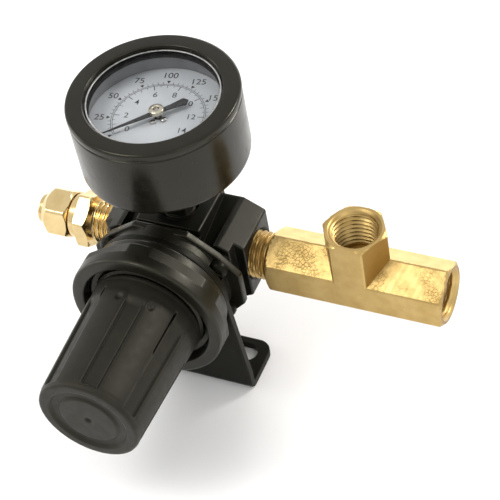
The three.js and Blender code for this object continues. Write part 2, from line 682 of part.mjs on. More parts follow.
// Sector on its own arbor; its arc runs against the pinion and its tail meets the link.
function sectorGear() {
  const [low, high] = MOVEMENT_Z;
  const arc = range(13).map((i) => {
    const angle = deg(THREE.MathUtils.lerp(34, 98, i / 12));
    return [SECTOR_R * Math.cos(angle), SECTOR_R * Math.sin(angle)];
  });
  const tail = [TAIL_PIN[0], TAIL_PIN[1] - SECTOR_Y];
  const fan = outline([
    [1, -0.6], ...arc, [-0.8, 0.6],
    [tail[0] - 0.5, tail[1] + 0.6], [tail[0] + 0.5, tail[1] - 0.6],
  ]);
  const arbor = aboutZ(rod(0.6, low, high), 16);
  return join(alongZ(fan, low + 1, low + 1.8), arbor).translate(0, GAUGE_Y + SECTOR_Y, 0);
}

// Link from the free end of the Bourdon tube to the sector's tail.
function tubeLink() {
  const reach = new THREE.Vector2(TAIL_PIN[0] - TUBE_TIP[0], TAIL_PIN[1] - TUBE_TIP[1]);
  const turn = THREE.MathUtils.radToDeg(reach.angle());
  const bar = box([-0.7, reach.length() + 0.7], [-0.6, 0.6], [43, 43.3]).rotate([0, 0, turn]);
  const post = aboutZ(rod(0.55, 40.2, 43.1), 12);
  return join(bar, post).translate(TUBE_TIP[0], GAUGE_Y + TUBE_TIP[1], 0);
}

function pointer() {
  const blade = outline([
    [POINTER_TIP, 0.12], [2.2, 0.75], [0, 0.95], [-2.2, 0.7], [-4, 0.8],
    [-POINTER_TAIL + 0.9, 1.35], [-POINTER_TAIL, 0],
    [-POINTER_TAIL + 0.9, -1.35], [-4, -0.8], [-2.2, -0.7], [0, -0.95], [2.2, -0.75],
    [POINTER_TIP, -0.12],
  ]);
  const hole = aboutZ(rod(0.65, POINTER_Z - 1, POINTER_Z + 1), 16);
  const flat = alongZ(blade, POINTER_Z - 0.3, POINTER_Z);
  return cut(flat, hole).rotate([0, 0, POINTER_REST_DEG]).translate(0, GAUGE_Y, 0);
}

function pointerHub() {
  const [low, high] = [POINTER_Z + 0.1, POINTER_Z + 1.3];
  const cap = gaugeTurned([[0, low], [1.9, low], [1.9, high - 0.4], [1.5, high], [0, high]], 20);
  return cut(cap, gaugeTurned(rod(0.65, POINTER_Z - 1, POINTER_Z + 1.1), 16));
}

// ---------------------------------------------------------------- assembly

const group = new THREE.Group();
const regulator = new THREE.Group();
regulator.position.set(0, -SLOT_Y, -FOOT_Z);
group.add(regulator);

function place(name, shape, material) {
  const geometry = shape.isBufferGeometry ? shape : geometryOf(shape);
  const mesh = new THREE.Mesh(geometry, material());
  mesh.name = name;
  regulator.add(mesh);
  return mesh;
}

place('body', bodyCasting(), blackDiecast);
place('valve_seat', valveSeat(), brightBrass);
place('valve_stem', valveStem(), plainSteel);
place('valve_poppet', valvePoppet(), blackRubber);
place('valve_spring', coilSpring({ radius: 3, wire: 0.3, turns: 4, y0: 4.3, y1: 9.2 }), plainSteel);
place('rear_plug', bottomPlug(), blackPlastic);
place('rear_plug_seal', aboutY(ring(5.0, 5.9, 5.2, 6.3), 24), blackRubber);
place('gauge_port_plug', gaugePortPlug(), brightBrass);

place('diaphragm', diaphragm(), blackRubber);
place('diaphragm_plate', diaphragmPlate(), plainSteel);
place('relief_boss', reliefBoss(), brightBrass);
place('main_spring', coilSpring({ radius: 7, wire: 0.9, turns: 4.5, y0: -31.8, y1: -14.8 }), plainSteel);
place('bonnet', bonnet(), blackPlastic);
bonnetScrewPlaces.forEach(([x, z], i) => {
  place(`bonnet_screw_${i + 1}`, bonnetScrew().translate(x, 0, z), blackSteel);
});
place('adjusting_nut', adjustingNut(), brightBrass);
place('adjusting_screw', adjustingScrew(), brightBrass);
place('knob', knob(), blackPlastic);

place('bracket', bracket(), blackSteel);
place('panel_nut', panelNut(), blackPlastic);

place('tee', tee(), satinBrass);
place('fitting_body', fittingBody(), brightBrass);
place('tube_nut', tubeNut(), brightBrass);
place('ferrule', ferrule(), brightBrass);

place('gauge_socket', gaugeSocket(), blackSteel);
place('gauge_case', gaugeCase(), blackSteel);
place('gauge_lens', gaugeLens(), clearPlastic);
place('dial_ring', dialRing(), greyPlastic);
place('gauge_dial', gaugeDial(), dialWhite);
DIAL_SCREW_PLACES.forEach(([x, y], i) => {
  place(`dial_screw_${i + 1}`, dialScrew().translate(x, y, 0), plainSteel);
});
place('bourdon_tube', bourdonTube(), brightBrass);
place('movement_frame', movementFrame(), brightBrass);
place('sector_gear', sectorGear(), brightBrass);
place('tube_link', tubeLink(), brightBrass);
place('pinion_arbor', pinionArbor(), plainSteel);
place('pointer', pointer(), pointerBlack);
place('pointer_hub', pointerHub(), brightBrass);

export default group;
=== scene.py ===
"""Looks for the air pressure regulator: detailed surfaces, materials, light and camera.

Shapes are worked out in millimetres in the regulator's own axes: X is the port axis, Y the valve
and knob axis, Z the gauge axis, and ORIGIN is where they cross.
"""

import json
import math

import bmesh
import bpy
import numpy as np
from mathutils import Matrix, Vector


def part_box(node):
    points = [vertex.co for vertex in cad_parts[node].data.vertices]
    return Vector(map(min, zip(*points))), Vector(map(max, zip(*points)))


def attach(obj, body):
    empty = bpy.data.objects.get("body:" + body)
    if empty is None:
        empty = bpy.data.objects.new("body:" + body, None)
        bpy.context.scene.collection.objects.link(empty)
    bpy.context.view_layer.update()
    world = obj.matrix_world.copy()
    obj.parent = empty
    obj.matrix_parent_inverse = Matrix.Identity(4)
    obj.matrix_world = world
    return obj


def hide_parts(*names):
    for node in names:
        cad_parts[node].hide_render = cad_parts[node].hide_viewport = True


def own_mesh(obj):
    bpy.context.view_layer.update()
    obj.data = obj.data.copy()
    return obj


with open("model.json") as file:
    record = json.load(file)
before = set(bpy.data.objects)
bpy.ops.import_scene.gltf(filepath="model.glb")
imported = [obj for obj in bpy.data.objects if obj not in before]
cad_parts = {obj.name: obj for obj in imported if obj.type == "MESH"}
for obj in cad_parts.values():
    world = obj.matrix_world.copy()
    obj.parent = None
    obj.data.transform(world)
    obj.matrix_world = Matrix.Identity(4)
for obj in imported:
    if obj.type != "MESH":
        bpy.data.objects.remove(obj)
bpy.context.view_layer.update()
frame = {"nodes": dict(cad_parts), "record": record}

MM = 0.001
BODY_BACK_Y = 8.0
_body_low, _body_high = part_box("body")
ORIGIN = Vector((0, _body_high.y - BODY_BACK_Y * MM, (_body_low.z + _body_high.z) / 2))

# Stations and sizes that several pieces share, in millimetres and degrees.
PORT_FACE_X = 20.0
BOSS_Z = 14.4
BONNET_SCREW_X = 15.5
BONNET_SCREW_Z = 7.6
SCREW_PLACES = [
    (side * BONNET_SCREW_X, level * BONNET_SCREW_Z)
    for side, level in ((1, 1), (-1, 1), (-1, -1), (1, -1))
]
TEE_UPPER_FACE = (0, -0.5, 0.866)
KNOB_BASE_Y = -27.0
KNOB_END_Y = -62.0
KNOB_BASE_R = 14.9
KNOB_END_R = 13.6
KNOB_LOBES = 7
FLUTE_MIDDLE_DEG = 78.7
FLUTE_HALF_DEG = 9.7
PIPE_PITCH = 1.41
PIPE_THREAD_DEPTH = 0.78
PIPE_BORE_DEPTH = 0.62
PIPE_BORE_R = 5.65
GAUGE_THREAD_PITCH = 0.907
SETTING_TRAVEL = 9.0
VALVE_TRAVEL = 1.0
GAUGE_Y = -0.9
AT_GAUGE = (0, GAUGE_Y, 0)
CASE_BACK_Z = 32.6
CASE_FRONT_Z = 53.1
GAUGE_R = 21.7
DIAL_Z = 45.0
POINTER_Z = 46.8
POINTER_REST_DEG = -135.0

# The dial's printing: pounds per square inch outside the arc and bar inside it.
DIAL_TURN_DEG = 12.0
SCALE_START_DEG = -135.0
SCALE_SWEEP_DEG = 246.0
OUTER_FULL = 200
OUTER_STEP = 5
OUTER_NUMBERED = 25
INNER_DEG_EACH = 17.6
INNER_FULL = 14
ARC_R = 11.6
ARC_HALF_GAP = 0.2
FINE_LINE = 0.13
BROAD_LINE = 0.2
INK_Z = DIAL_Z + 0.012

# ---- camera

CAMERA_AZIMUTH = 30.915
CAMERA_ELEVATION = 46.955
CAMERA_ROLL = -11.554
CAMERA_PLACE = (170.4, -255.3, 319.3)
CAMERA_LENS = 120.8
CAMERA_SENSOR = 36
CAMERA_NEAR = 0.01
CAMERA_FAR = 20


def linked(name, data):
    """A new object in the scene."""
    made = bpy.data.objects.new(name, data)
    bpy.context.scene.collection.objects.link(made)
    return made


def make_camera():
    """A camera at the photograph's angle, with the height and side directions rolled."""
    azimuth = math.radians(CAMERA_AZIMUTH)
    elevation = math.radians(CAMERA_ELEVATION)
    roll = math.radians(CAMERA_ROLL)
    level = math.cos(elevation)
    back = Vector((math.sin(azimuth) * level, -math.cos(azimuth) * level, math.sin(elevation)))
    right = Vector((math.cos(azimuth), math.sin(azimuth), 0))
    up = back.cross(right)
    rolled_right = right * math.cos(roll) + up * math.sin(roll)
    rolled_up = up * math.cos(roll) - right * math.sin(roll)
    data = bpy.data.cameras.new("camera")
    data.lens = CAMERA_LENS
    data.sensor_width = CAMERA_SENSOR
    data.clip_start = CAMERA_NEAR
    data.clip_end = CAMERA_FAR
    camera = linked("camera", data)
    turn = Matrix((rolled_right, rolled_up, back)).transposed()
    place = ORIGIN + Vector(CAMERA_PLACE) * MM
    camera.matrix_world = Matrix.Translation(place) @ turn.to_4x4()
    bpy.context.scene.camera = camera
    bpy.context.scene.view_settings.view_transform = "Standard"


make_camera()

# ---- shape helpers

# A shape is (points, faces) in millimetres. PLANES gives, for each axis, the two directions
# across it: an angle about the axis is measured from the first towards the second.
PLANES = {
    "X": np.array(((0, 1, 0), (0, 0, 1), (1, 0, 0)), float),
    "Y": np.array(((1, 0, 0), (0, 0, 1), (0, 1, 0)), float),
    "Z": np.array(((1, 0, 0), (0, 1, 0), (0, 0, 1)), float),
}


def rounded(corners, closed=True, steps=4):
    """A profile with its corners rounded. A corner is (u, v) or (u, v, radius)."""
    corners = [tuple(c) if len(c) == 3 else (c[0], c[1], 0) for c in corners]
    made = []
    count = len(corners)
    for i, (u, v, radius) in enumerate(corners):
        here = Vector((u, v))
        if radius == 0 or (not closed and i in (0, count - 1)):
            made.append((u, v))
            continue
        before = Vector(corners[i - 1][:2]) - here
        after = Vector(corners[(i + 1) % count][:2]) - here
        reach = min(radius, before.length * 0.49, after.length * 0.49)
        start = here + before.normalized() * reach
        end = here + after.normalized() * reach
        for k in range(steps + 1):
            t = k / steps
            point = start * (1 - t) ** 2 + here * 2 * t * (1 - t) + end * t * t
            made.append((point.x, point.y))
    return made


def dense(profile, low, high, step):
    """The profile with extra points on the stretches that lie between two stations."""
    made = []
    count = len(profile)
    slack = 1e-6
    for i, (radius, station) in enumerate(profile):
        made.append((radius, station))
        next_radius, next_station = profile[(i + 1) % count]
        wider = next_radius - radius
        further = next_station - station
        inside = min(station, next_station) >= low - slack and max(station, next_station) <= high + slack
        pieces = int(max(abs(further), abs(wider)) / step) if inside else 0
        for k in range(1, pieces):
            share = k / pieces
            made.append((radius + wider * share, station + further * share))
    return made


def turned(profile, axis="Z", centre=(0, 0, 0), segments=96, warp=None):
    """A profile of (radius, station) turned about an axis. It starts and ends on the axis, or
    closes on itself. warp(radius, station, angle) may change the radius and the station."""
    on_axis = profile[0][0] == 0 and profile[-1][0] == 0
    angle = np.linspace(0, 2 * math.pi, segments, endpoint=False)[None, :]
    data = np.array(profile, float)
    radius = np.repeat(data[:, :1], segments, axis=1)
    station = np.repeat(data[:, 1:], segments, axis=1)
    angle = np.repeat(angle, len(profile), axis=0)
    if warp:
        radius, station = warp(radius, station, angle)
    across, up, along = PLANES[axis]
    grid = (
        (radius * np.cos(angle))[..., None] * across
        + (radius * np.sin(angle))[..., None] * up
        + station[..., None] * along
        + np.array(centre, float)
    )
    points = []
    rows = []
    for i, row in enumerate(grid):
        if on_axis and i in (0, len(profile) - 1):
            rows.append([len(points)] * segments)
            points.append(row.mean(axis=0))
        else:
            rows.append(list(range(len(points), len(points) + segments)))
            points.extend(row)
    faces = []
    pairs = list(zip(rows, rows[1:])) + ([] if on_axis else [(rows[-1], rows[0])])
    for low, high in pairs:
        for i in range(segments):
            j = (i + 1) % segments
            loop = [low[i], low[j], high[j], high[i]]
            faces.append(list(dict.fromkeys(loop)))
    return np.array(points), faces


def rod(radius, low, high, axis="Y", centre=(0, 0, 0), segments=96):
    """A plain cylinder between two stations."""
    return turned([(0, low), (radius, low), (radius, high), (0, high)], axis, centre, segments)


def prism(corners, axis, low, high, bevel=0.3, steps=3):
    """An outline across an axis, extruded along it, with every edge rounded."""
    across, up, along = PLANES[axis]
    bm = bmesh.new()
    ends = []
    for station in (low, high):
        ends.append([bm.verts.new(across * u + up * v + along * station) for u, v in corners])
    count = len(corners)
    bm.faces.new(ends[0])
    bm.faces.new(ends[1])
    for i in range(count):
        j = (i + 1) % count
        bm.faces.new((ends[0][i], ends[0][j], ends[1][j], ends[1][i]))
    bmesh.ops.recalc_face_normals(bm, faces=bm.faces)
    if bevel:
        sharp = [e for e in bm.edges if e.calc_face_angle() > math.radians(12)]
        bmesh.ops.bevel(bm, geom=sharp, offset=bevel, offset_type="OFFSET", segments=steps,
                        profile=0.5, affect="EDGES", clamp_overlap=True)
    return taken(bm)


def taken(bm):
    """The shape of a bmesh, which is freed."""
    bm.verts.index_update()
    points = np.array([v.co[:] for v in bm.verts])
    faces = [[v.index for v in f.verts] for f in bm.faces]
    bm.free()
    return points, faces


def block(x, y, z, bevel=0.3):
    """A box between two stations on each axis, with its edges rounded."""
    corners = [(x[0], y[0]), (x[1], y[0]), (x[1], y[1]), (x[0], y[1])]
    return prism(corners, "Z", z[0], z[1], bevel)


def moved(shape, offset=(0, 0, 0), turn=0.0, about="Z"):
    """The shape turned by an angle in degrees about an axis through the origin, then moved."""
    points, faces = shape
    turning = np.array(Matrix.Rotation(math.radians(turn), 3, about))
    return points @ turning.T + np.array(offset, float), faces


def together(*shapes):
    """Shapes side by side in one shape, without joining their surfaces."""
    points = []
    faces = []
    for shape_points, shape_faces in shapes:
        start = len(points)
        points.extend(shape_points)
        faces.extend([[i + start for i in face] for face in shape_faces])
    return np.array(points), faces


def loose_object(name, shape):
    """An object in the scene with its faces turned outwards."""
    points, faces = shape
    mesh = bpy.data.meshes.new(name)
    mesh.from_pydata([tuple(p) for p in points], [], faces)
    bm = bmesh.new()
    bm.from_mesh(mesh)
    bmesh.ops.recalc_face_normals(bm, faces=bm.faces)
    bm.to_mesh(mesh)
    bm.free()
    return linked(name, mesh)


def evaluated(holder):
    """The shape of an object with its modifiers worked out."""
    graph = bpy.context.evaluated_depsgraph_get()
    mesh = bpy.data.meshes.new_from_object(holder.evaluated_get(graph))
    points = np.array([v.co[:] for v in mesh.vertices])
    faces = [list(p.vertices) for p in mesh.polygons]
    bpy.data.meshes.remove(mesh)
    return points, faces


def combined(base, tools, operation):
    """The base joined with the tools, or cut by them."""
    holder = loose_object("base", base)
    others = [loose_object("tool", tool) for tool in tools]
    for other in others:
        step = holder.modifiers.new("step", "BOOLEAN")
        step.object = other
        step.operation = operation
        step.solver = "MANIFOLD"
    shape = evaluated(holder)
    for thing in (holder, *others):
        bpy.data.objects.remove(thing)
    return shape


def fused(base, *tools):
    return combined(base, tools, "UNION")


def carved(base, *tools):
    return combined(base, tools, "DIFFERENCE")


def smoothed(mesh, crease):
    """Smooth shading, except across edges sharper than an angle in degrees."""
    mesh.polygons.foreach_set("use_smooth", [True] * len(mesh.polygons))
    mesh.set_sharp_from_angle(angle=math.radians(crease))


def piece(name, shape, slot, body="root", replaces=None, crease=32, weighted=False, finish=None):
    """A finished piece, in metres, riding on a body. Its finish is its slot's, or one given."""
    points, faces = shape
    placed = np.array(points) * MM + np.array(ORIGIN)
    made = loose_object(name, (placed, faces))
    made.data.materials.append(FINISHES[finish or slot])
    smoothed(made.data, crease)
    if weighted:
        normals = made.modifiers.new("normals", "WEIGHTED_NORMAL")
        normals.keep_sharp = True
    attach(made, body)
    if replaces:
        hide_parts(replaces)
    return made


def hexagonal(across_flats, angle, corner_deg=0.0):
    """Distance from the axis to a hexagon's side, at an angle in radians."""
    step = math.radians(60)
    local = np.mod(angle - math.radians(corner_deg), step) - step / 2
    return across_flats / 2 / np.cos(local)


def helix_wave(station, angle, pitch):
    """From 0 at a thread's root to 1 at its crest, along a helix."""
    crest = 0.22
    phase = np.mod(station / pitch - angle / (2 * math.pi), 1)
    height = 1 - np.abs(2 * phase - 1)
    return np.clip(height * (1 + 2 * crest) - crest, 0, 1)


def threaded(low, high, pitch, depth, inner):
    """A warp that cuts a thread into the surface outside the inner radius. A negative depth
    raises it instead, for a cutter whose crests are the thread's roots."""
    def warp(radius, station, angle):
        lead = np.clip((station - low) / pitch, 0, 1) * np.clip((high - station) / pitch, 0, 1)
        wave = helix_wave(station, angle, pitch)
        groove = depth * (1 - wave if depth > 0 else wave)
        return np.where(radius > inner, radius - groove * lead, radius), station
    return warp


# ---- materials

WARM_SHEEN = (1.0, 0.96, 0.78)
# paler black painted along sharp edges as a highlight
EDGE_HIGHLIGHT_BLACK = (0.054, 0.051, 0.039)
# darker brass painted as shade on faces turned towards +X
PAINTED_SHADE_BRASS = (0.3, 0.18, 0.05)
# width of the edge band that takes the painted highlight
EDGE_HIGHLIGHT_RADIUS = 0.35
FINISHES = {}


class Nodes:
    """A material's node tree, with short ways to add what every finish here uses."""

    def __init__(self, name, colour, roughness, metallic=0.0, specular=0.5):
        material = bpy.data.materials.new(name)
        material.use_nodes = True
        FINISHES[name] = material
        self.tree = material.node_tree
        self.shader = self.tree.nodes["Principled BSDF"]
        self.fill(self.shader, {"Base Color": (*colour, 1), "Roughness": roughness,
                                "Metallic": metallic, "Specular IOR Level": specular})
        self.place = self.add("ShaderNodeTexCoord").outputs["Object"]

    def fill(self, node, values):
        for key, value in values.items():
            node.inputs[key].default_value = value

    def add(self, kind, values=None, **settings):
        """A new node, with the values of its sockets and its own settings."""
        node = self.tree.nodes.new(kind)
        for key, value in settings.items():
            setattr(node, key, value)
        self.fill(node, values or {})
        return node

    def link(self, source, target):
        self.tree.links.new(source, target)

    def stretched(self, scale):
        """The place with each axis scaled, for brushed or drawn textures."""
        mapping = self.add("ShaderNodeMapping", {"Scale": scale})
        self.link(self.place, mapping.inputs["Vector"])
        return mapping.outputs["Vector"]

    def noise(self, size_mm, detail=4.0, place=None):
        """Noise between 0 and 1 whose features are about size_mm across."""
        values = {"Scale": 1000 / size_mm, "Detail": detail, "Roughness": 0.55}
        node = self.add("ShaderNodeTexNoise", values)
        self.link(place or self.place, node.inputs["Vector"])
        return node.outputs["Fac"]

    def patches(self, size_mm, detail, low=0.35, high=0.7):
        """Noise stretched so that it covers the whole of 0 to 1."""
        return self.remap(self.noise(size_mm, detail), low, high, 0, 1)

    def along(self, normal, direction):
        """How far a normal points along a direction."""
        node = self.add("ShaderNodeVectorMath", {1: direction}, operation="DOT_PRODUCT")
        self.link(normal, node.inputs[0])
        return node.outputs["Value"]

    def creases(self, size_mm, waviness):
        """Distance from a net of cracks, about size_mm apart and bent by a noise."""
        bend = self.add("ShaderNodeTexNoise", {"Scale": 1500 / size_mm, "Detail": 3})
        self.link(self.place, bend.inputs["Vector"])
        reach = {"Scale": waviness * size_mm * MM * 2}
        shift = self.add("ShaderNodeVectorMath", reach, operation="SCALE")
        self.link(bend.outputs["Color"], shift.inputs[0])
        bent = self.add("ShaderNodeVectorMath", operation="ADD")
        self.link(self.place, bent.inputs[0])
        self.link(shift.outputs["Vector"], bent.inputs[1])
        net = self.add("ShaderNodeTexVoronoi", {"Scale": 1000 / size_mm}, feature="DISTANCE_TO_EDGE")
        self.link(bent.outputs["Vector"], net.inputs["Vector"])
        return net.outputs["Distance"]

    def remap(self, value, low, high, new_low, new_high):
        ends = {"From Min": low, "From Max": high, "To Min": new_low, "To Max": new_high}
        node = self.add("ShaderNodeMapRange", ends)
        self.link(value, node.inputs["Value"])
        return node.outputs["Result"]

    def math(self, operation, first, second):
        node = self.add("ShaderNodeMath", operation=operation)
        for socket, value in zip(node.inputs, (first, second)):
            if isinstance(value, (int, float)):
                socket.default_value = value
            else:
                self.link(value, socket)
        return node.outputs["Value"]

    def mixed(self, amount, first, second):
        node = self.add("ShaderNodeMix", data_type="RGBA")
        self.link(amount, node.inputs["Factor"])
        for key, value in zip(("A", "B"), (first, second)):
            socket = [s for s in node.inputs if s.name == key and s.type == "RGBA"][0]
            if isinstance(value, tuple):
                socket.default_value = (*value, 1)
            else:
                self.link(value, socket)
        return [s for s in node.outputs if s.type == "RGBA"][0]

    def colour_from(self, amount, first, second):
        self.link(self.mixed(amount, first, second), self.shader.inputs["Base Color"])

    def roughness_from(self, amount, low, high):
        self.link(self.remap(amount, 0.25, 0.75, low, high), self.shader.inputs["Roughness"])

    def bump(self, height, depth_mm, below=None):
        """Relief of a depth in millimetres, over any finer relief already there."""
        node = self.add("ShaderNodeBump", {"Strength": 1.0, "Distance": depth_mm * MM})
        self.link(height, node.inputs["Height"])
        if below is not None:
            self.link(below, node.inputs["Normal"])
        self.link(node.outputs["Normal"], self.shader.inputs["Normal"])
        return node.outputs["Normal"]

    def normal(self):
        return self.add("ShaderNodeNewGeometry").outputs["Normal"]

    def edges(self):
        """From 0 on flat places to 1 on sharp edges, where a painted highlight goes."""
        rounded_off = self.add("ShaderNodeBevel", {"Radius": EDGE_HIGHLIGHT_RADIUS * MM}, samples=4)
        node = self.add("ShaderNodeVectorMath", operation="DOT_PRODUCT")
        self.link(rounded_off.outputs["Normal"], node.inputs[0])
        self.link(self.normal(), node.inputs[1])
        return self.remap(node.outputs["Value"], 0.99, 0.88, 0, 1)


def black_finish(name, colour, roughness, grain_mm, grain_depth, specular):
    """A black surface: uneven tone, a painted highlight along its edges, and a fine grain."""
    look = Nodes(name, colour, roughness, specular=specular)
    look.fill(look.shader, {"Specular Tint": (*WARM_SHEEN, 1)})
    pale = tuple(1.6 * part for part in colour)
    skin = look.mixed(look.patches(9.0, 3), colour, pale)
    # painted highlight: sharp edges turn towards a paler black
    look.colour_from(look.edges(), skin, EDGE_HIGHLIGHT_BLACK)
    look.roughness_from(look.noise(2.4, 5), roughness - 0.06, roughness + 0.08)
    look.bump(look.noise(grain_mm, 2), grain_depth)


def brass_finish(name, colour, roughness, forged=False):
    """Brass: a warm uneven tone and fine marks. Forged brass has a creased skin on its slanted upper
    face and painted shade on its faces that turn towards +X."""
    look = Nodes(name, colour, roughness, metallic=1.0)
    deep = (0.8 * colour[0], 0.76 * colour[1], 0.66 * colour[2])
    skin = look.mixed(look.patches(6.0, 4), colour, deep)
    marks = look.noise(0.5, 3, place=look.stretched((6, 1, 1)))
    both = look.math("MULTIPLY", look.math("ADD", marks, look.noise(3.0, 4)), 0.5)
    look.roughness_from(both, roughness - 0.06, roughness + 0.1)
    fine = look.bump(marks, 0.003)
    if not forged:
        look.link(skin, look.shader.inputs["Base Color"])
        return
    normal = look.normal()
    on_face = look.remap(look.along(normal, TEE_UPPER_FACE), 0.97, 0.99, 0, 1)
    shaded_end = look.remap(look.along(normal, (1, 0, 0)), 0.75, 0.97, 0, 1)
    creased = look.math("MULTIPLY", look.patches(6.0, 3, 0.45, 0.6), on_face)
    creases = look.remap(look.creases(0.9, 0.3), 0.0, 0.08, 0, 1)
    look.bump(look.mixed(creased, (1, 1, 1), creases), 0.035, below=fine)
    # painted shade: faces turned towards +X turn darker
    look.colour_from(shaded_end, skin, PAINTED_SHADE_BRASS)


def steel_finish(name, colour, roughness):
    """Bare or plated metal, drawn in one direction."""
    look = Nodes(name, colour, roughness, metallic=1.0)
    look.colour_from(look.patches(1.6, 5), colour, tuple(0.72 * part for part in colour))
    drawn = look.noise(0.7, 4, place=look.stretched((1, 5, 1)))
    look.roughness_from(drawn, roughness - 0.08, roughness + 0.1)
    look.bump(look.noise(0.35, 3), 0.004)


def mottled_finish(name, colours, tone, shine, grain, specular=0.5):
    """A surface between two colours. The tone is a noise's (size, detail, low, high), the shine
    its (size, detail) and the roughness at both ends, and the grain (size, detail, depth)."""
    look = Nodes(name, colours[0], shine[2], specular=specular)
    look.colour_from(look.patches(*tone), *colours)
    look.roughness_from(look.noise(*shine[:2]), *shine[2:])
    look.bump(look.noise(*grain[:2]), grain[2])


def ink_finish(name, colour):
    """Printing ink and painted metal: nearly black, thinner in places."""
    thin = tuple(1.9 * part + 0.02 for part in colour)
    mottled_finish(name, (colour, thin), (0.5, 4, 0.4, 0.7), (0.8, 3, 0.4, 0.6), (0.2, 2, 0.003))


def lens_finish():
    """Clear moulded plastic: it passes light, and mirrors more at a slant."""
    look = Nodes("clear_lens", (0.02, 0.022, 0.022), 0.04)
    slant = look.add("ShaderNodeLayerWeight", {"Blend": 0.5})
    mirror = look.remap(look.math("POWER", slant.outputs["Facing"], 4.0), 0, 1, 0.04, 0.8)
    smudge = look.remap(look.noise(8.0, 3), 0.4, 0.7, 0.0, 0.02)
    look.link(look.math("ADD", mirror, smudge), look.shader.inputs["Alpha"])
    look.roughness_from(look.noise(6.0, 3), 0.03, 0.08)


black_finish("black_diecast", (0.003, 0.003, 0.0022), 0.36, 0.5, 0.008, specular=0.3)
black_finish("black_plastic", (0.005, 0.0048, 0.003), 0.36, 0.3, 0.005, specular=0.32)
black_finish("knob_plastic", (0.0085, 0.0078, 0.0058), 0.48, 0.28, 0.006, specular=0.27)
black_finish("black_steel", (0.003, 0.003, 0.002), 0.4, 0.9, 0.006, specular=0.13)
black_finish("black_enamel", (0.0042, 0.0038, 0.0026), 0.22, 2.0, 0.0006, specular=0.34)
brass_finish("satin_brass", (0.55, 0.39, 0.155), 0.38, forged=True)
brass_finish("bright_brass", (0.78, 0.6, 0.31), 0.17)
steel_finish("plain_steel", (0.6, 0.59, 0.57), 0.28)
steel_finish("hub_plated", (0.72, 0.67, 0.54), 0.3)
mottled_finish("black_rubber", ((0.012, 0.012, 0.012), (0.03, 0.029, 0.028)),
               (1.5, 5, 0.4, 0.65), (0.8, 4, 0.65, 0.85), (0.25, 4, 0.015), specular=0.35)
mottled_finish("grey_plastic", ((0.2, 0.203, 0.21), (0.26, 0.264, 0.27)),
               (4.0, 4, 0.35, 0.7), (0.9, 3, 0.4, 0.55), (0.3, 3, 0.006))
mottled_finish("dial_white", ((0.6, 0.625, 0.65), (0.54, 0.565, 0.59)),
               (5.0, 5, 0.3, 0.75), (1.2, 3, 0.48, 0.6), (0.22, 3, 0.004), specular=0.2)
ink_finish("dial_ink", (0.022, 0.023, 0.026))
ink_finish("pointer_black", (0.02, 0.02, 0.021))
lens_finish()


def finish_cad_nodes():
    """Every CAD node takes the finish of its own slot, for those that stay in view."""
    for entry in frame["record"]["subparts"]:
        mesh = frame["nodes"][entry["node"]].data
        mesh.materials.clear()
        mesh.materials.append(FINISHES[entry["material_slot"]])
        smoothed(mesh, 35)


# ---- body and bonnet

def body_outline(port_x):
    """The body's section in X and Z: a flat top and slanted facets down to the port faces."""
    top_x, top_z = 14.2, 12
    port_z = top_z - (port_x - top_x) * 3.2 / 5.8
    return [
        (top_x, top_z), (-top_x, top_z), (-port_x, port_z), (-port_x, -port_z),
        (-top_x, -top_z), (top_x, -top_z), (port_x, -port_z), (port_x, port_z),
    ]


def make_body():
    main = prism(body_outline(PORT_FACE_X), "Y", -7, 8, bevel=0.55)
    waist = prism(body_outline(17.2), "Y", -10, -6, bevel=0.4)
    bosses = block((-9, 9), (-8.6, 8), (-BOSS_Z, BOSS_Z), bevel=0.6)
    cutters = []
    for side in (-1, 1):
        for face in (-1, 1):
            pocket = prism([(8.6, 12.3), (-11, 8.8), (-11, 16), (8.6, 16)], "X", 9.02, 13.2, bevel=0)
            points, faces = pocket
            cutters.append((points * np.array((side, 1, face)), faces))
        port = [(0, 10), (6.3, 10), (6.3, 19.1), (7.3, 20.1), (7.3, 20.6), (0, 20.6)]
        points, faces = turned(port, "X", segments=72)
        cutters.append((points * np.array((side, 1, 1)), faces))
        gauge_port = [(0, 9.2), (4.8, 9.2), (4.8, 13.7), (5.6, 14.5), (5.6, 15), (0, 15)]
        points, faces = turned(gauge_port, "Z", segments=60)
        cutters.append((points * np.array((1, 1, side)) + np.array((0, GAUGE_Y, 0)), faces))
    cutters.append(rod(6.2, -0.2, 8.5, segments=64))
    cutters.append(turned([(0, -11), (12.6, -11), (11.4, -9), (8, -7.4), (0, -7.4)], "Y"))
    for x, z in SCREW_PLACES:
        cutters.append(rod(1.5, -11, -4.6, centre=(x, 0, z), segments=24))
    shape = carved(fused(main, waist, bosses), *cutters)
    piece("body_casting", shape, "black_diecast", replaces="body", weighted=True)


def flange_outline():
    """The bonnet flange in X and Z: one quarter, mirrored twice."""
    quarter = [(20.6, 5.2), (15.4, 11), (7.5, 16.8)]
    upper = quarter + [(-x, z) for x, z in reversed(quarter)]
    return upper + [(-x, -z) for x, z in upper]


def make_bonnet():
    flange = prism(flange_outline(), "Y", -13, -11, bevel=0.45)
    outer = rounded([
        (0, -12), (17.2, -12), (17.2, -15.7, 0.5), (15, -15.7), (15, -25.9), (14.4, -26.4),
        (11.3, -26.4), (11.3, -46, 0.8), (0, -46),
    ], closed=False)
    outer = dense(outer, -26, -15.7, 0.16)
    neck = turned(outer, "Y", segments=120, warp=threaded(-25.8, -16.2, 1.5, 0.5, 14.6))
    bore = turned([(0, -10.5), (12.4, -10.5), (12.4, -12), (9.6, -14.6), (9.6, -42.2), (3.1, -42.2),
                   (3.1, -47), (0, -47)], "Y")
    cutters = [bore]
    for x, z in SCREW_PLACES:
        cutters.append(rod(2.9, -15.9, -13, centre=(x, 0, z), segments=40))
        cutters.append(rod(1.6, -13.5, -10.5, centre=(x, 0, z), segments=24))
    shape = carved(fused(flange, neck), *cutters)
    keys = [block((x - 1, x + 1), (-41.2, -16), (-1.2, 1.2), bevel=0.1) for x in (-8.9, 8.9)]
    piece("bonnet_moulding", together(shape, *keys), "black_plastic", replaces="bonnet", weighted=True)


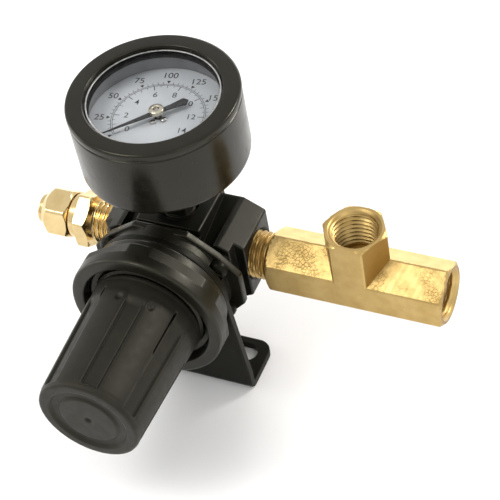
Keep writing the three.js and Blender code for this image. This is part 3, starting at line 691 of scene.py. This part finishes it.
def coil(radius, wire, turns, low, high):
    """A round wire wound about Y between two stations, with flat closed ends."""
    sides = 12
    steps = int(turns * 40)
    angle = np.linspace(0, 2 * math.pi * turns, steps + 1)
    station = np.linspace(low + wire, high - wire, steps + 1)
    around = np.linspace(0, 2 * math.pi, sides, endpoint=False)
    reach = radius + wire * np.cos(around)[None, :]
    height = station[:, None] + wire * np.sin(around)[None, :]
    grid = np.stack([reach * np.cos(angle)[:, None], height, reach * np.sin(angle)[:, None]], axis=-1)
    faces = []
    for i in range(steps):
        for k in range(sides):
            here = i * sides + k
            beside = i * sides + (k + 1) % sides
            faces.append([here, beside, beside + sides, here + sides])
    faces.append(list(range(sides)))
    faces.append(list(range(steps * sides, (steps + 1) * sides)))
    return grid.reshape(-1, 3), faces


def make_springs():
    """Both springs as coils of round wire, each with a mesh of its own."""
    for node, joint, travel, length, fixed_y, radius, wire, turns in (
        ("main_spring", "setting_travel", SETTING_TRAVEL, 17.0, -14.8, 7, 0.9, 4.5),
        ("valve_spring", "valve_travel", VALVE_TRAVEL, 4.9, 9.2, 3, 0.3, 4),
    ):
        shape = coil(radius, wire, turns, fixed_y - length, fixed_y)
        spring = piece(f"{node}_coil", shape, "plain_steel", replaces=node, crease=60)
        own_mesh(spring)


def make_bonnet_screws():
    profile = rounded([(0, -14), (1.3, -14), (1.3, -5, 0.3), (0, -5)], closed=False)
    head = rounded([(0, -15.2), (1.7, -15.15, 0.3), (2.5, -14.3, 0.4), (2.5, -13.2, 0.1), (0, -13.2)],
                   closed=False, steps=6)
    for i, (x, z) in enumerate(SCREW_PLACES):
        thread = turned(dense(profile, -14, -5, 0.1), "Y", segments=32,
                        warp=threaded(-12, -5.2, 0.5, 0.25, 1.2))
        cross = [moved(block((-1.3, 1.3), (-15.5, -14.5), (-0.24, 0.24), bevel=0), turn=t, about="Y")
                 for t in (35, 125)]
        whole = moved(together(carved(turned(head, "Y", segments=48), *cross), thread), (x, 0, z))
        piece(f"bonnet_screw_{i + 1}_turned", whole, "black_steel", replaces=f"bonnet_screw_{i + 1}")


def make_rear_plug():
    """The plug that closes the valve chamber: a hexagon on a flange, seen from behind."""
    def hexagon_head(radius, station, angle):
        side = np.minimum(hexagonal(15.5, angle, 30), 8.75)
        slope = 8.9 - np.clip(station - 12.2, 0, 1) * 1.1
        on_head = (station > 10.3) & (radius > 5)
        return np.where(on_head, np.minimum(side, slope) * radius / 9.0, radius), station
    head = dense([(0, 9.9), (9.0, 9.9), (9.0, 13), (4.2, 13), (3.4, 12.2), (0, 12.2)], 9.8, 13.1, 0.12)
    hexed = turned(head, "Y", segments=144, warp=hexagon_head)
    flange = turned(rounded([(0, 8.3), (9.4, 8.3), (9.4, 10.1, 0.4), (0, 10.1)], closed=False), "Y")
    spigot = rod(5.9, 6.6, 9, segments=64)
    guide = rod(2.4, 6, 11, segments=48)
    shape = carved(fused(hexed, flange, spigot), guide)
    piece("rear_plug_moulding", shape, "black_plastic", replaces="rear_plug")


# ---- knob and panel nut

def knob_surface(radius, station, angle):
    """Cuts the flutes, slits and dimples into the knob's outer wall."""
    pitch = 360 / KNOB_LOBES
    degrees = np.degrees(angle)
    wall = (radius > 12.3) & (station < KNOB_BASE_Y - 1) & (station > KNOB_END_Y + 0.4)
    u = np.mod(degrees - FLUTE_MIDDLE_DEG + pitch / 2, pitch) - pitch / 2

    def smooth(value):
        value = np.clip(value, 0, 1)
        return value * value * (3 - 2 * value)

    inside = smooth((FLUTE_HALF_DEG + 0.5 - np.abs(u)) / 1.6)
    along = smooth((station - (KNOB_END_Y + 1.3)) / 0.9) * smooth((-32.6 - station) / 2.5)
    depth = 0.62 * inside * along
    line = np.exp(-(((np.abs(u) - FLUTE_HALF_DEG + 0.6) / 0.75) ** 2))
    depth += 0.3 * line * along
    land = smooth((np.abs(u) - FLUTE_HALF_DEG) / 3) * smooth((station - (KNOB_END_Y + 1.5)) / 0.8)
    depth -= 0.14 * land * smooth((-30.5 - station) / 2.0) - 0.14
    for middle, end in ((37.2, -44), (120.4, -41), (217.2, -44), (300.4, -41)):
        gap = np.exp(-(((degrees - middle) / 1.1) ** 4))
        depth += 1.6 * gap * smooth((station - end) / 0.8) * smooth((-30.6 - station) / 0.5)
    for middle in (62.8, 96.5, 242.8, 276.5):
        away = np.hypot((degrees - middle) * math.radians(14.6), station + 33.9)
        depth += 0.42 * smooth((1.15 - away) / 0.7)
    return np.where(wall, radius - depth, radius), station


def make_knob():
    end, base = KNOB_END_Y, KNOB_BASE_Y
    outer = rounded([
        (0, end + 1.0), (0.45, end + 0.9, 0.2), (1.0, end + 0.3, 0.2), (1.7, end + 0.25, 0.3),
        (7.6, end + 0.25, 0.4), (8.3, end + 0.85, 0.3), (9.9, end + 0.85, 0.3), (10.6, end + 0.05, 0.4),
        (KNOB_END_R, end, 2.2), (KNOB_BASE_R, base, 0.5), (12.1, base, 0.3),
        (12.1, -50), (7.4, -50), (7.4, -47.2), (5.4, -47.2), (5.4, -60), (0, -60),
    ], closed=False, steps=8)
    outer = dense(outer, end + 0.5, base, 0.35)
    shape = turned(outer, "Y", segments=504, warp=knob_surface)
    piece("knob_moulding", shape, "knob_plastic", body="knob", replaces="knob", crease=50)


def nut_surface(radius, station, angle):
    """Cuts the six flats between the nut's collar and its round rim."""
    flats = 19.3 / np.cos(np.mod(angle - math.radians(30), math.radians(60)) - math.radians(30))
    end_rise = np.clip((-24.3 - station) / 0.7, 0, 1) ** 2 * 2.5
    outer = (radius > 18.8) & (station > -25.3)
    return np.where(outer, np.minimum(radius, flats + end_rise), radius), station


def make_panel_nut():
    front, back = -28.2, -18.3
    profile = rounded([
        (15.3, back), (18.6, back, 0.5), (18.6, back - 2.5, 0.3), (20.8, back - 3.3, 0.3),
        (20.8, -25, 0), (20.8, front, 1.0), (17.4, front, 0.4), (16.7, front + 3.1, 0.4),
        (15.3, front + 3.4),
    ])
    profile = dense(profile, -25.2, back - 2.4, 0.12)
    shape = turned(profile, "Y", segments=360, warp=nut_surface)
    piece("panel_nut_moulding", shape, "black_plastic", replaces="panel_nut", crease=28)


# ---- bracket

def softened(shape, width):
    """The shape with flat areas merged and its sharp outward edges rounded."""
    bm = bmesh.new()
    points, faces = shape
    corners = [bm.verts.new(p) for p in points]
    for face in faces:
        bm.faces.new([corners[i] for i in face])
    bmesh.ops.remove_doubles(bm, verts=bm.verts, dist=1e-3)
    bmesh.ops.dissolve_limit(bm, angle_limit=math.radians(1), verts=bm.verts, edges=bm.edges)
    bmesh.ops.recalc_face_normals(bm, faces=bm.faces)
    sharp = [e for e in bm.edges if len(e.link_faces) == 2 and e.is_convex
             and e.calc_face_angle() > math.radians(40)]
    bmesh.ops.bevel(bm, geom=sharp, offset=width, offset_type="OFFSET", segments=3,
                    profile=0.5, affect="EDGES", clamp_overlap=False)
    return taken(bm)


def arc_points(centre, radius, start, end, steps):
    """Places along an arc between two angles in degrees."""
    made = []
    for i in range(steps + 1):
        angle = math.radians(start + (end - start) * i / steps)
        made.append((centre[0] + radius * math.cos(angle), centre[1] + radius * math.sin(angle)))
    return made


def make_bracket():
    half, foot = 20.5, -35.8
    face = arc_points((0, 0), 18.2, -6, 186, 48) + [(-half, foot + 6), (-half, foot + 1)]
    face += [(half, foot + 1), (half, foot + 6)]
    upright = prism(face, "Y", -18, -16, bevel=0)
    base = [(-half, -17), (half, -17)]
    base += arc_points((half - 4, -6.3), 4, 0, 90, 10)
    base += arc_points((-half + 4, -6.3), 4, 90, 180, 10)
    foot_plate = prism(base, "Z", foot, foot + 2, bevel=0)
    whole = fused(upright, foot_plate)
    bend = (-15.4, foot + 2.6)
    outside = [(-19, foot - 1), (-15.4, foot - 1)] + arc_points(bend, 2.6, 270, 180, 8)
    outside = prism(outside + [(-19, foot + 2.6)], "X", -30, 30, bevel=0)
    inside = [(-16, foot + 2)] + arc_points(bend, 0.6, 270, 180, 6)
    inside = prism(inside, "X", -half, half, bevel=0)
    neck = rod(15.3, -19, -15, segments=120)
    slots = []
    slot_x, slot_y, slot_r, slot_reach = 13.2, -7.3, 2.7, 1.5
    for side in (-1, 1):
        ends = arc_points((side * slot_x + slot_reach, slot_y), slot_r, -90, 90, 14)
        ends += arc_points((side * slot_x - slot_reach, slot_y), slot_r, 90, 270, 14)
        slots.append(prism(ends, "Z", foot - 1, foot + 3, bevel=0))
    shape = carved(fused(whole, inside), outside, neck, *slots)
    piece("bracket_stamping", softened(shape, 0.28), "black_steel", replaces="bracket", weighted=True)


# ---- brass tee and tube fitting

def hexed_ends(across_flats, corner_deg, low, high, low_cone, high_cone, softness=0.14):
    """A warp that turns a round bar into a hexagonal one. A cone is (radius at the end, slope)."""
    def warp(radius, station, angle):
        side = np.minimum(hexagonal(across_flats, angle, corner_deg),
                          across_flats / math.sqrt(3) - softness)
        from_low = low_cone[0] + np.clip(station - low, 0, None) * low_cone[1]
        from_high = high_cone[0] + np.clip(high - station, 0, None) * high_cone[1]
        limit = np.minimum(side, np.minimum(from_low, from_high))
        outer = radius > min(low_cone[0], high_cone[0]) - 0.6
        return np.where(outer, np.minimum(radius, limit), radius), station
    return warp


def forged(points):
    """Shallow dents in the tee's skin, worked out from the place alone."""
    x, y, z = points.T
    return (np.sin(1.9 * x + 0.7 * z) * np.sin(1.3 * y - 0.9 * x + 1) * 0.5
            + np.sin(3.7 * x - 2.3 * y + 1.7 * z) * 0.3 + np.sin(0.45 * x + 2) * 0.4)


def make_tee():
    start, end, branch_x, top = 24.6, 71.9, 48.1, 17.5
    across = 15.0
    corner_r = across / math.sqrt(3)
    run = dense([(0, start), (corner_r, start), (corner_r, end), (0, end)], start, end, 0.3)
    sides = hexed_ends(across, 30, start, end, (7.25, 1.6), (7.5, 1.6))
    points, faces = turned(run, "X", segments=192, warp=sides)
    outward = np.array(TEE_UPPER_FACE)
    upper = (points @ outward) > 7.2
    dents = forged(points)[:, None] * outward * 0.02
    bar = (points + dents * upper[:, None], faces)
    post = dense([(0, 0), (corner_r, 0), (corner_r, top), (0, top)], 0, top, 0.3)
    sides = hexed_ends(across, 0, -20, top, (7.2, 1.7), (7.6, 1.9))
    branch = turned(post, "Z", (branch_x, 0, 0), 192, sides)
    nipple = rounded([(0, 11), (5.2, 11), (6.3, 12.1), (6.3, 23.9), (5.5, 24.5), (5.5, 25.6),
                      (0, 25.6)], closed=False)
    nipple = turned(dense(nipple, 12, 24, 0.13), "X", segments=120,
                    warp=threaded(12, 24.4, PIPE_PITCH, PIPE_THREAD_DEPTH, 5.4))
    run_bore = [(0, 58), (PIPE_BORE_R, 58), (PIPE_BORE_R, end - 1.1), (6.75, end),
                (6.75, end + 0.6), (0, end + 0.6)]
    run_bore = turned(dense(run_bore, 58, end, 0.14), "X", segments=120,
                      warp=threaded(58.3, end - 0.3, PIPE_PITCH, -PIPE_BORE_DEPTH, 5.6))
    top_bore = [(0, 0), (3.6, 0), (3.6, 4.4), (5.0, 5.0), (PIPE_BORE_R, 5.0),
                (PIPE_BORE_R, top - 1.0), (6.85, top), (6.85, top + 0.6), (0, top + 0.6)]
    top_bore = turned(dense(top_bore, 5.0, top, 0.14), "Z", (branch_x, 0, 0), 120,
                      threaded(5.4, top - 0.3, PIPE_PITCH, -PIPE_BORE_DEPTH, 5.6))
    through = rod(3.6, 10, 60, "X", segments=64)
    shape = carved(fused(bar, branch, nipple), run_bore, top_bore, through)
    piece("tee_forging", shape, "satin_brass", replaces="tee", crease=24)


def make_fitting():
    hex_bar = dense([(0, -31), (8.2, -31), (8.2, -27.3), (0, -27.3)], -31, -27.3, 0.1)
    sides = hexed_ends(14.2, 30, -31, -27.3, (7.75, 1.5), (7.2, 1.5), 0.1)
    hexed = turned(hex_bar, "X", segments=192, warp=sides)
    stud = rounded([
        (0, -38.6), (4.2, -38.6, 0.2), (4.9, -37.8), (4.9, -33.5), (6.0, -33.5, 0.3), (6.0, -30.8),
        (5.5, -27.5), (5.5, -26.6), (6.3, -26.0), (6.3, -12.2), (5.7, -11), (0, -11),
    ], closed=False)
    stud = turned(dense(stud, -26.1, -12, 0.13), "X", segments=120,
                  warp=threaded(-26.4, -12, PIPE_PITCH, PIPE_THREAD_DEPTH, 5.6))
    bore = turned([(0, -39.2), (3.9, -39.2), (3.15, -37.6), (3.15, -28), (2.4, -28), (2.4, -10),
                   (0, -10)], "X", segments=64)
    shape = carved(fused(hexed, stud), bore)
    piece("fitting_body_turned", shape, "bright_brass", replaces="fitting_body", crease=24)


def make_tube_nut():
    low, high = -42, -33.8
    outer = dense([(0, low), (7.4, low), (7.4, high), (0, high)], low, high, 0.1)
    sides = hexed_ends(12.4, 15, low, high, (5.0, 0.9), (6.1, 1.2), 0.2)
    hexed = turned(outer, "X", segments=192, warp=sides)
    lip = turned(rounded([(0, -43.8), (4.1, -43.8, 0.7), (4.1, -41, 0), (0, -41)], closed=False), "X")
    thread = dense([(0, -40.2), (5.1, -40.2), (5.1, -33.2), (0, -33.2)], -40.2, -33.2, 0.14)
    thread = turned(thread, "X", warp=threaded(-40, -33.4, 1.0, -0.35, 5.0))
    hole = turned([(0, -44.5), (3.6, -44.5), (3.25, -43.4), (3.25, -38), (0, -38)], "X", segments=64)
    shape = carved(fused(hexed, lip), thread, hole)
    piece("tube_nut_turned", shape, "bright_brass", body="tube_nut", replaces="tube_nut", crease=24)


# ---- gauge

def on_gauge(profile, segments=96, warp=None):
    return turned(profile, "Z", AT_GAUGE, segments, warp)


def make_gauge_case():
    back, front = CASE_BACK_Z, CASE_FRONT_Z
    profile = rounded([
        (4.9, back), (8.5, back), (9.2, back + 0.5, 0.3), (16.5, back + 0.5, 0.3), (17.2, back, 0.3),
        (GAUGE_R - 0.15, back, 1.7), (GAUGE_R - 0.1, front - 2.75, 0.15),
        (GAUGE_R - 0.45, front - 2.5, 0.1), (GAUGE_R - 0.45, front - 2.2, 0.1),
        (GAUGE_R, front - 1.95, 0.2), (GAUGE_R, front - 0.12, 1.5),
        (17.2, front, 0.5), (17.0, front - 1.5, 0.2), (18.6, front - 1.5), (18.6, DIAL_Z + 1),
        (19.4, DIAL_Z + 1), (19.4, back + 2), (4.9, back + 2),
    ], steps=8)
    piece("gauge_case_drawn", on_gauge(profile, 192), "black_enamel", replaces="gauge_case")
    gasket = rounded([(16.15, 49.92), (18.3, 49.92), (18.3, 50.15), (16.15, 50.15, 0.1)])
    piece("gauge_gasket", on_gauge(gasket, 128), "black_rubber")
    snap_ring = [(16.35, 51.85, 0.1), (16.75, 51.85, 0.1), (16.75, 52.1, 0.1), (16.35, 52.1, 0.1)]
    piece("gauge_snap_ring", on_gauge(rounded(snap_ring), 160), "plain_steel")


def make_gauge_lens():
    profile = rounded([
        (0, 50.25), (18.2, 50.25), (18.2, 51.3, 0.2), (16.7, 51.35, 0.1), (16.6, 51.8, 0.25),
        (16.0, 51.8, 0.25), (15.8, 51.2, 0.2), (0, 51.25),
    ], closed=False, steps=6)
    piece("gauge_lens_moulding", on_gauge(profile, 160), "clear_lens", replaces="gauge_lens")


def make_dial():
    ring = rounded([(17.6, 45.2), (18.3, 45.2), (18.3, 49.85), (16.5, 49.85, 0.3), (16.6, 49.4, 0.2),
                    (17.1, 49.2)], steps=5)
    piece("dial_ring_moulding", on_gauge(ring, 160), "grey_plastic", replaces="dial_ring")
    plate = rounded([(1, DIAL_Z - 0.6), (19, DIAL_Z - 0.6, 0.1), (19, DIAL_Z, 0.1), (1, DIAL_Z, 0.1)])
    piece("dial_plate", on_gauge(plate, 128), "dial_white", replaces="gauge_dial")


def scale_angle(share):
    """The angle in radians of a share of the outer scale."""
    return math.radians(SCALE_START_DEG - share * SCALE_SWEEP_DEG)


def ink_line(start, end, width):
    """A flat printed line between two places on the dial."""
    start, end = Vector(start), Vector(end)
    side = (end - start).normalized().orthogonal() * width / 2
    corners = [start - side, end - side, end + side, start + side]
    return ink_patch([tuple(c) for c in corners])


def ink_patch(corners):
    """A flat printed patch with these corners on the dial."""
    count = len(corners)
    low = [(x, y + GAUGE_Y, DIAL_Z + 0.002) for x, y in corners]
    high = [(x, y + GAUGE_Y, INK_Z) for x, y in corners]
    faces = [list(range(count)), list(range(count, 2 * count))]
    faces += [[i, (i + 1) % count, (i + 1) % count + count, i + count] for i in range(count)]
    return np.array(low + high), faces


def polar(radius, angle):
    return radius * math.cos(angle), radius * math.sin(angle)


def ink_arc(radius, width, start, end):
    parts = []
    steps = 120
    inner = radius - width / 2
    outer = radius + width / 2
    for i in range(steps):
        here, there = (start + (end - start) * k / steps for k in (i, i + 1))
        parts.append(ink_patch([polar(inner, here), polar(outer, here), polar(outer, there),
                                polar(inner, there)]))
    return together(*parts)


def dial_scales():
    """Two arcs, with fine marks and triangles outside them and marks of three sizes inside."""
    parts = []
    outside = ARC_R + ARC_HALF_GAP
    inside = ARC_R - ARC_HALF_GAP
    for radius in (inside, outside):
        parts.append(ink_arc(radius, FINE_LINE, scale_angle(0), scale_angle(1)))
    half_width = math.radians(2.3)
    for step in range(OUTER_FULL // OUTER_STEP + 1):
        angle = scale_angle(step * OUTER_STEP / OUTER_FULL)
        if step * OUTER_STEP % OUTER_NUMBERED:
            parts.append(ink_line(polar(outside, angle), polar(ARC_R + 0.95, angle), FINE_LINE))
        else:
            parts.append(ink_patch([polar(ARC_R + 0.45, angle), polar(ARC_R + 1.45, angle - half_width),
                                    polar(ARC_R + 1.45, angle + half_width)]))
    for step in range(INNER_FULL * 2 + 1):
        angle = math.radians(SCALE_START_DEG - step * INNER_DEG_EACH / 2)
        numbered = step % 4 == 0
        reach = 1.5 if numbered else (1.0 if step % 2 == 0 else 0.6)
        width = BROAD_LINE if numbered else FINE_LINE
        parts.append(ink_line(polar(inside, angle), polar(inside - reach, angle), width))
    return together(*parts)


def dial_number(value, size, radius, angle):
    """One number, upright on the dial, as a thin printed shape."""
    curve = bpy.data.curves.new("number", "FONT")
    curve.body = str(value)
    curve.size = size
    curve.align_x = "CENTER"
    curve.align_y = "CENTER"
    curve.extrude = 0.004
    curve.offset = 0.006
    holder = linked("number", curve)
    points, faces = evaluated(holder)
    bpy.data.objects.remove(holder)
    x, y = polar(radius, angle)
    return moved((points, faces), (x, y + GAUGE_Y, DIAL_Z + 0.008), DIAL_TURN_DEG)


def make_dial_printing():
    piece("dial_scales", dial_scales(), "pointer_black", finish="dial_ink")
    numbers = []
    for value in range(0, OUTER_FULL + 1, OUTER_NUMBERED):
        numbers.append(dial_number(value, 2.75, 14.9, scale_angle(value / OUTER_FULL)))
    for value in range(0, INNER_FULL + 1, 2):
        angle = math.radians(SCALE_START_DEG - value * INNER_DEG_EACH)
        numbers.append(dial_number(value, 2.5, 8.2, angle))
    piece("dial_numbers", together(*numbers), "pointer_black", finish="dial_ink")


def make_pointer():
    half = [(15, 0.1), (9, 0.36), (2.2, 0.72), (0, 0.9), (-2.2, 0.66), (-4, 0.8), (-7.4, 1.25)]
    outline = half + [(-8.4, 0)] + [(x, -y) for x, y in reversed(half)]
    blade = prism(outline, "Z", POINTER_Z - 0.3, POINTER_Z, bevel=0.07, steps=2)
    blade = moved(blade, AT_GAUGE, turn=POINTER_REST_DEG)
    piece("pointer_blade", blade, "pointer_black", body="pointer", replaces="pointer")
    cap = rounded([
        (0.6, POINTER_Z + 0.1), (1.9, POINTER_Z + 0.1, 0.1), (1.9, POINTER_Z + 0.95, 0.25),
        (1.2, POINTER_Z + 1.25, 0.2), (0.75, POINTER_Z + 1.2, 0.15), (0.6, POINTER_Z + 0.8),
    ], steps=5)
    piece("pointer_hub_cap", on_gauge(cap, 64), "hub_plated", body="pointer", replaces="pointer_hub")
    arbor = rounded([
        (0, 41), (0.5, 41, 0.1), (0.5, 41.8), (1.05, 41.9, 0.1), (1.05, 43.2, 0.1), (0.5, 43.3),
        (0.5, POINTER_Z + 0.75, 0.15), (0.2, POINTER_Z + 0.7, 0.05), (0, POINTER_Z + 0.6),
    ], closed=False)
    arbor = on_gauge(dense(arbor, 41.8, 43.3, 0.2), 120, pinion_teeth)
    piece("pinion_arbor_turned", arbor, "plain_steel", body="pointer", replaces="pinion_arbor")


def make_dial_screws():
    top = DIAL_Z + 0.05
    for i, (x, y) in enumerate([(1.9, -0.7), (-0.4, -2.1)]):
        head = rounded([(0, top), (0.82, top), (0.8, DIAL_Z + 0.5, 0.15),
                        (0.35, DIAL_Z + 0.75, 0.2), (0, DIAL_Z + 0.76)], closed=False, steps=5)
        cut = block((-1, 1), (-0.11, 0.11), (DIAL_Z + 0.5, DIAL_Z + 1), bevel=0)
        cut = moved(cut, turn=35 + 60 * i)
        shank = rod(0.38, DIAL_Z - 0.9, DIAL_Z + 0.1, "Z", segments=24)
        screw = together(carved(turned(head, "Z", segments=40), cut), shank)
        screw = moved(screw, (x, y + GAUGE_Y, 0))
        piece(f"dial_screw_{i + 1}_turned", screw, "plain_steel", replaces=f"dial_screw_{i + 1}")


def pinion_teeth(radius, station, angle):
    """Twelve leaves on the pinion."""
    wave = 0.5 + 0.5 * np.cos(12 * angle)
    return np.where(radius > 0.9, radius - 0.25 * wave, radius), station


def make_gauge_socket():
    low, high = BOSS_Z + 0.6, 27
    square = block((-4.7, 4.7), (GAUGE_Y - 4.7, GAUGE_Y + 4.7), (low, high), bevel=0.5)
    trim = on_gauge([(0, low), (5.4, low), (6.5, BOSS_Z + 1.4), (6.5, high - 0.8), (5.4, high),
                     (0, high)])
    thread = dense([(0, 9.6), (4.0, 9.6), (4.5, 10.1), (4.5, 14.9), (0, 16)], 9.9, 15, 0.12)
    thread = on_gauge(thread, 96, threaded(9.8, 15.2, GAUGE_THREAD_PITCH, 0.5, 3.8))
    stem = rod(4.6, 26, 36, "Z", AT_GAUGE)
    seat = block((-13.8, 5), (GAUGE_Y - 3.2, GAUGE_Y + 3.2), (34.9, 40.6), bevel=0.3)
    bore = rod(1.2, 8, 38, "Z", AT_GAUGE, 32)
    shape = carved(fused(combined(square, [trim], "INTERSECT"), thread, stem, seat), bore)
    piece("gauge_socket_turned", shape, "black_steel", replaces="gauge_socket", crease=24)


def make_gauge_port_plug():
    outer = dense([(0, -14.6), (4.0, -14.6), (4.4, -14.2), (4.4, -9.8), (4.2, -9.6), (0, -9.6)],
                  -14.3, -9.7, 0.12)
    plug = on_gauge(outer, 96, threaded(-14.3, -9.6, GAUGE_THREAD_PITCH, 0.45, 3.9))
    key_r = 2.887
    key = [polar(key_r, math.radians(60 * i)) for i in range(6)]
    key = prism([(x, GAUGE_Y + y) for x, y in key], "Z", -15, -11.6, bevel=0)
    piece("gauge_port_plug_turned", carved(plug, key), "bright_brass",
          replaces="gauge_port_plug", crease=24)


# ---- light and floor

def make_floor():
    """A pale sheet that curves up behind the part, a hair below the surface it stands on."""
    reach = 3.0
    flat = 1.0
    rise = 1.6
    drop = 0.0002
    bm = bmesh.new()
    stations = [(-reach, 0.0), (flat, 0.0)]
    for k in range(1, 13):
        angle = math.radians(90 * k / 12)
        stations.append((flat + rise * math.sin(angle), rise * (1 - math.cos(angle))))
    rows = [[bm.verts.new((x, y, z - drop)) for x in (-reach, reach)] for y, z in stations]
    for low, high in zip(rows, rows[1:]):
        bm.faces.new((low[0], low[1], high[1], high[0]))
    mesh = bpy.data.meshes.new("floor")
    bm.to_mesh(mesh)
    bm.free()
    mesh.polygons.foreach_set("use_smooth", [True] * len(mesh.polygons))
    floor = linked("floor", mesh)
    look = Nodes("floor_paper", (0.96, 0.96, 0.96), 0.8, specular=0.2)
    look.colour_from(look.noise(300, 2), (0.97, 0.97, 0.97), (0.95, 0.95, 0.95))
    mesh.materials.append(FINISHES["floor_paper"])


def area_light(name, place, size, power, colour=(1, 1, 1)):
    data = bpy.data.lights.new(name, "AREA")
    data.shape = "RECTANGLE"
    data.size, data.size_y = size
    data.energy = power
    data.color = colour
    lamp = linked(name, data)
    lamp.location = place
    aim = ORIGIN - Vector(place)
    lamp.rotation_mode = "QUATERNION"
    lamp.rotation_quaternion = aim.to_track_quat("-Z", "Y")


def make_light():
    world = bpy.data.worlds.new("studio")
    world.use_nodes = True
    bpy.context.scene.world = world
    sky = world.node_tree.nodes["Background"]
    sky.inputs["Color"].default_value = (1, 1, 1, 1)
    sky.inputs["Strength"].default_value = 0.92
    area_light("key", (-0.33, -0.3, 0.8), (0.35, 0.35), 2.6, (1, 0.985, 0.95))
    area_light("side", (-0.8, -0.1, 0.25), (0.3, 0.5), 1.5, (1, 0.97, 0.93))
    area_light("fill", (0.75, -0.45, 0.5), (0.4, 0.5), 0.8)
    area_light("rim", (0.57, 0.58, 0.56), (0.22, 0.22), 4, (1, 0.97, 0.94))
    area_light("back", (-0.15, 0.95, 0.2), (0.5, 0.2), 2.6)


# ---- everything in order

finish_cad_nodes()
make_body()
make_bonnet()
make_springs()
make_bonnet_screws()
make_rear_plug()
make_knob()
make_panel_nut()
make_bracket()
make_tee()
make_fitting()
make_tube_nut()
make_gauge_case()
make_gauge_lens()
make_dial()
make_dial_printing()
make_pointer()
make_dial_screws()
make_gauge_socket()
make_gauge_port_plug()
make_floor()
make_light()
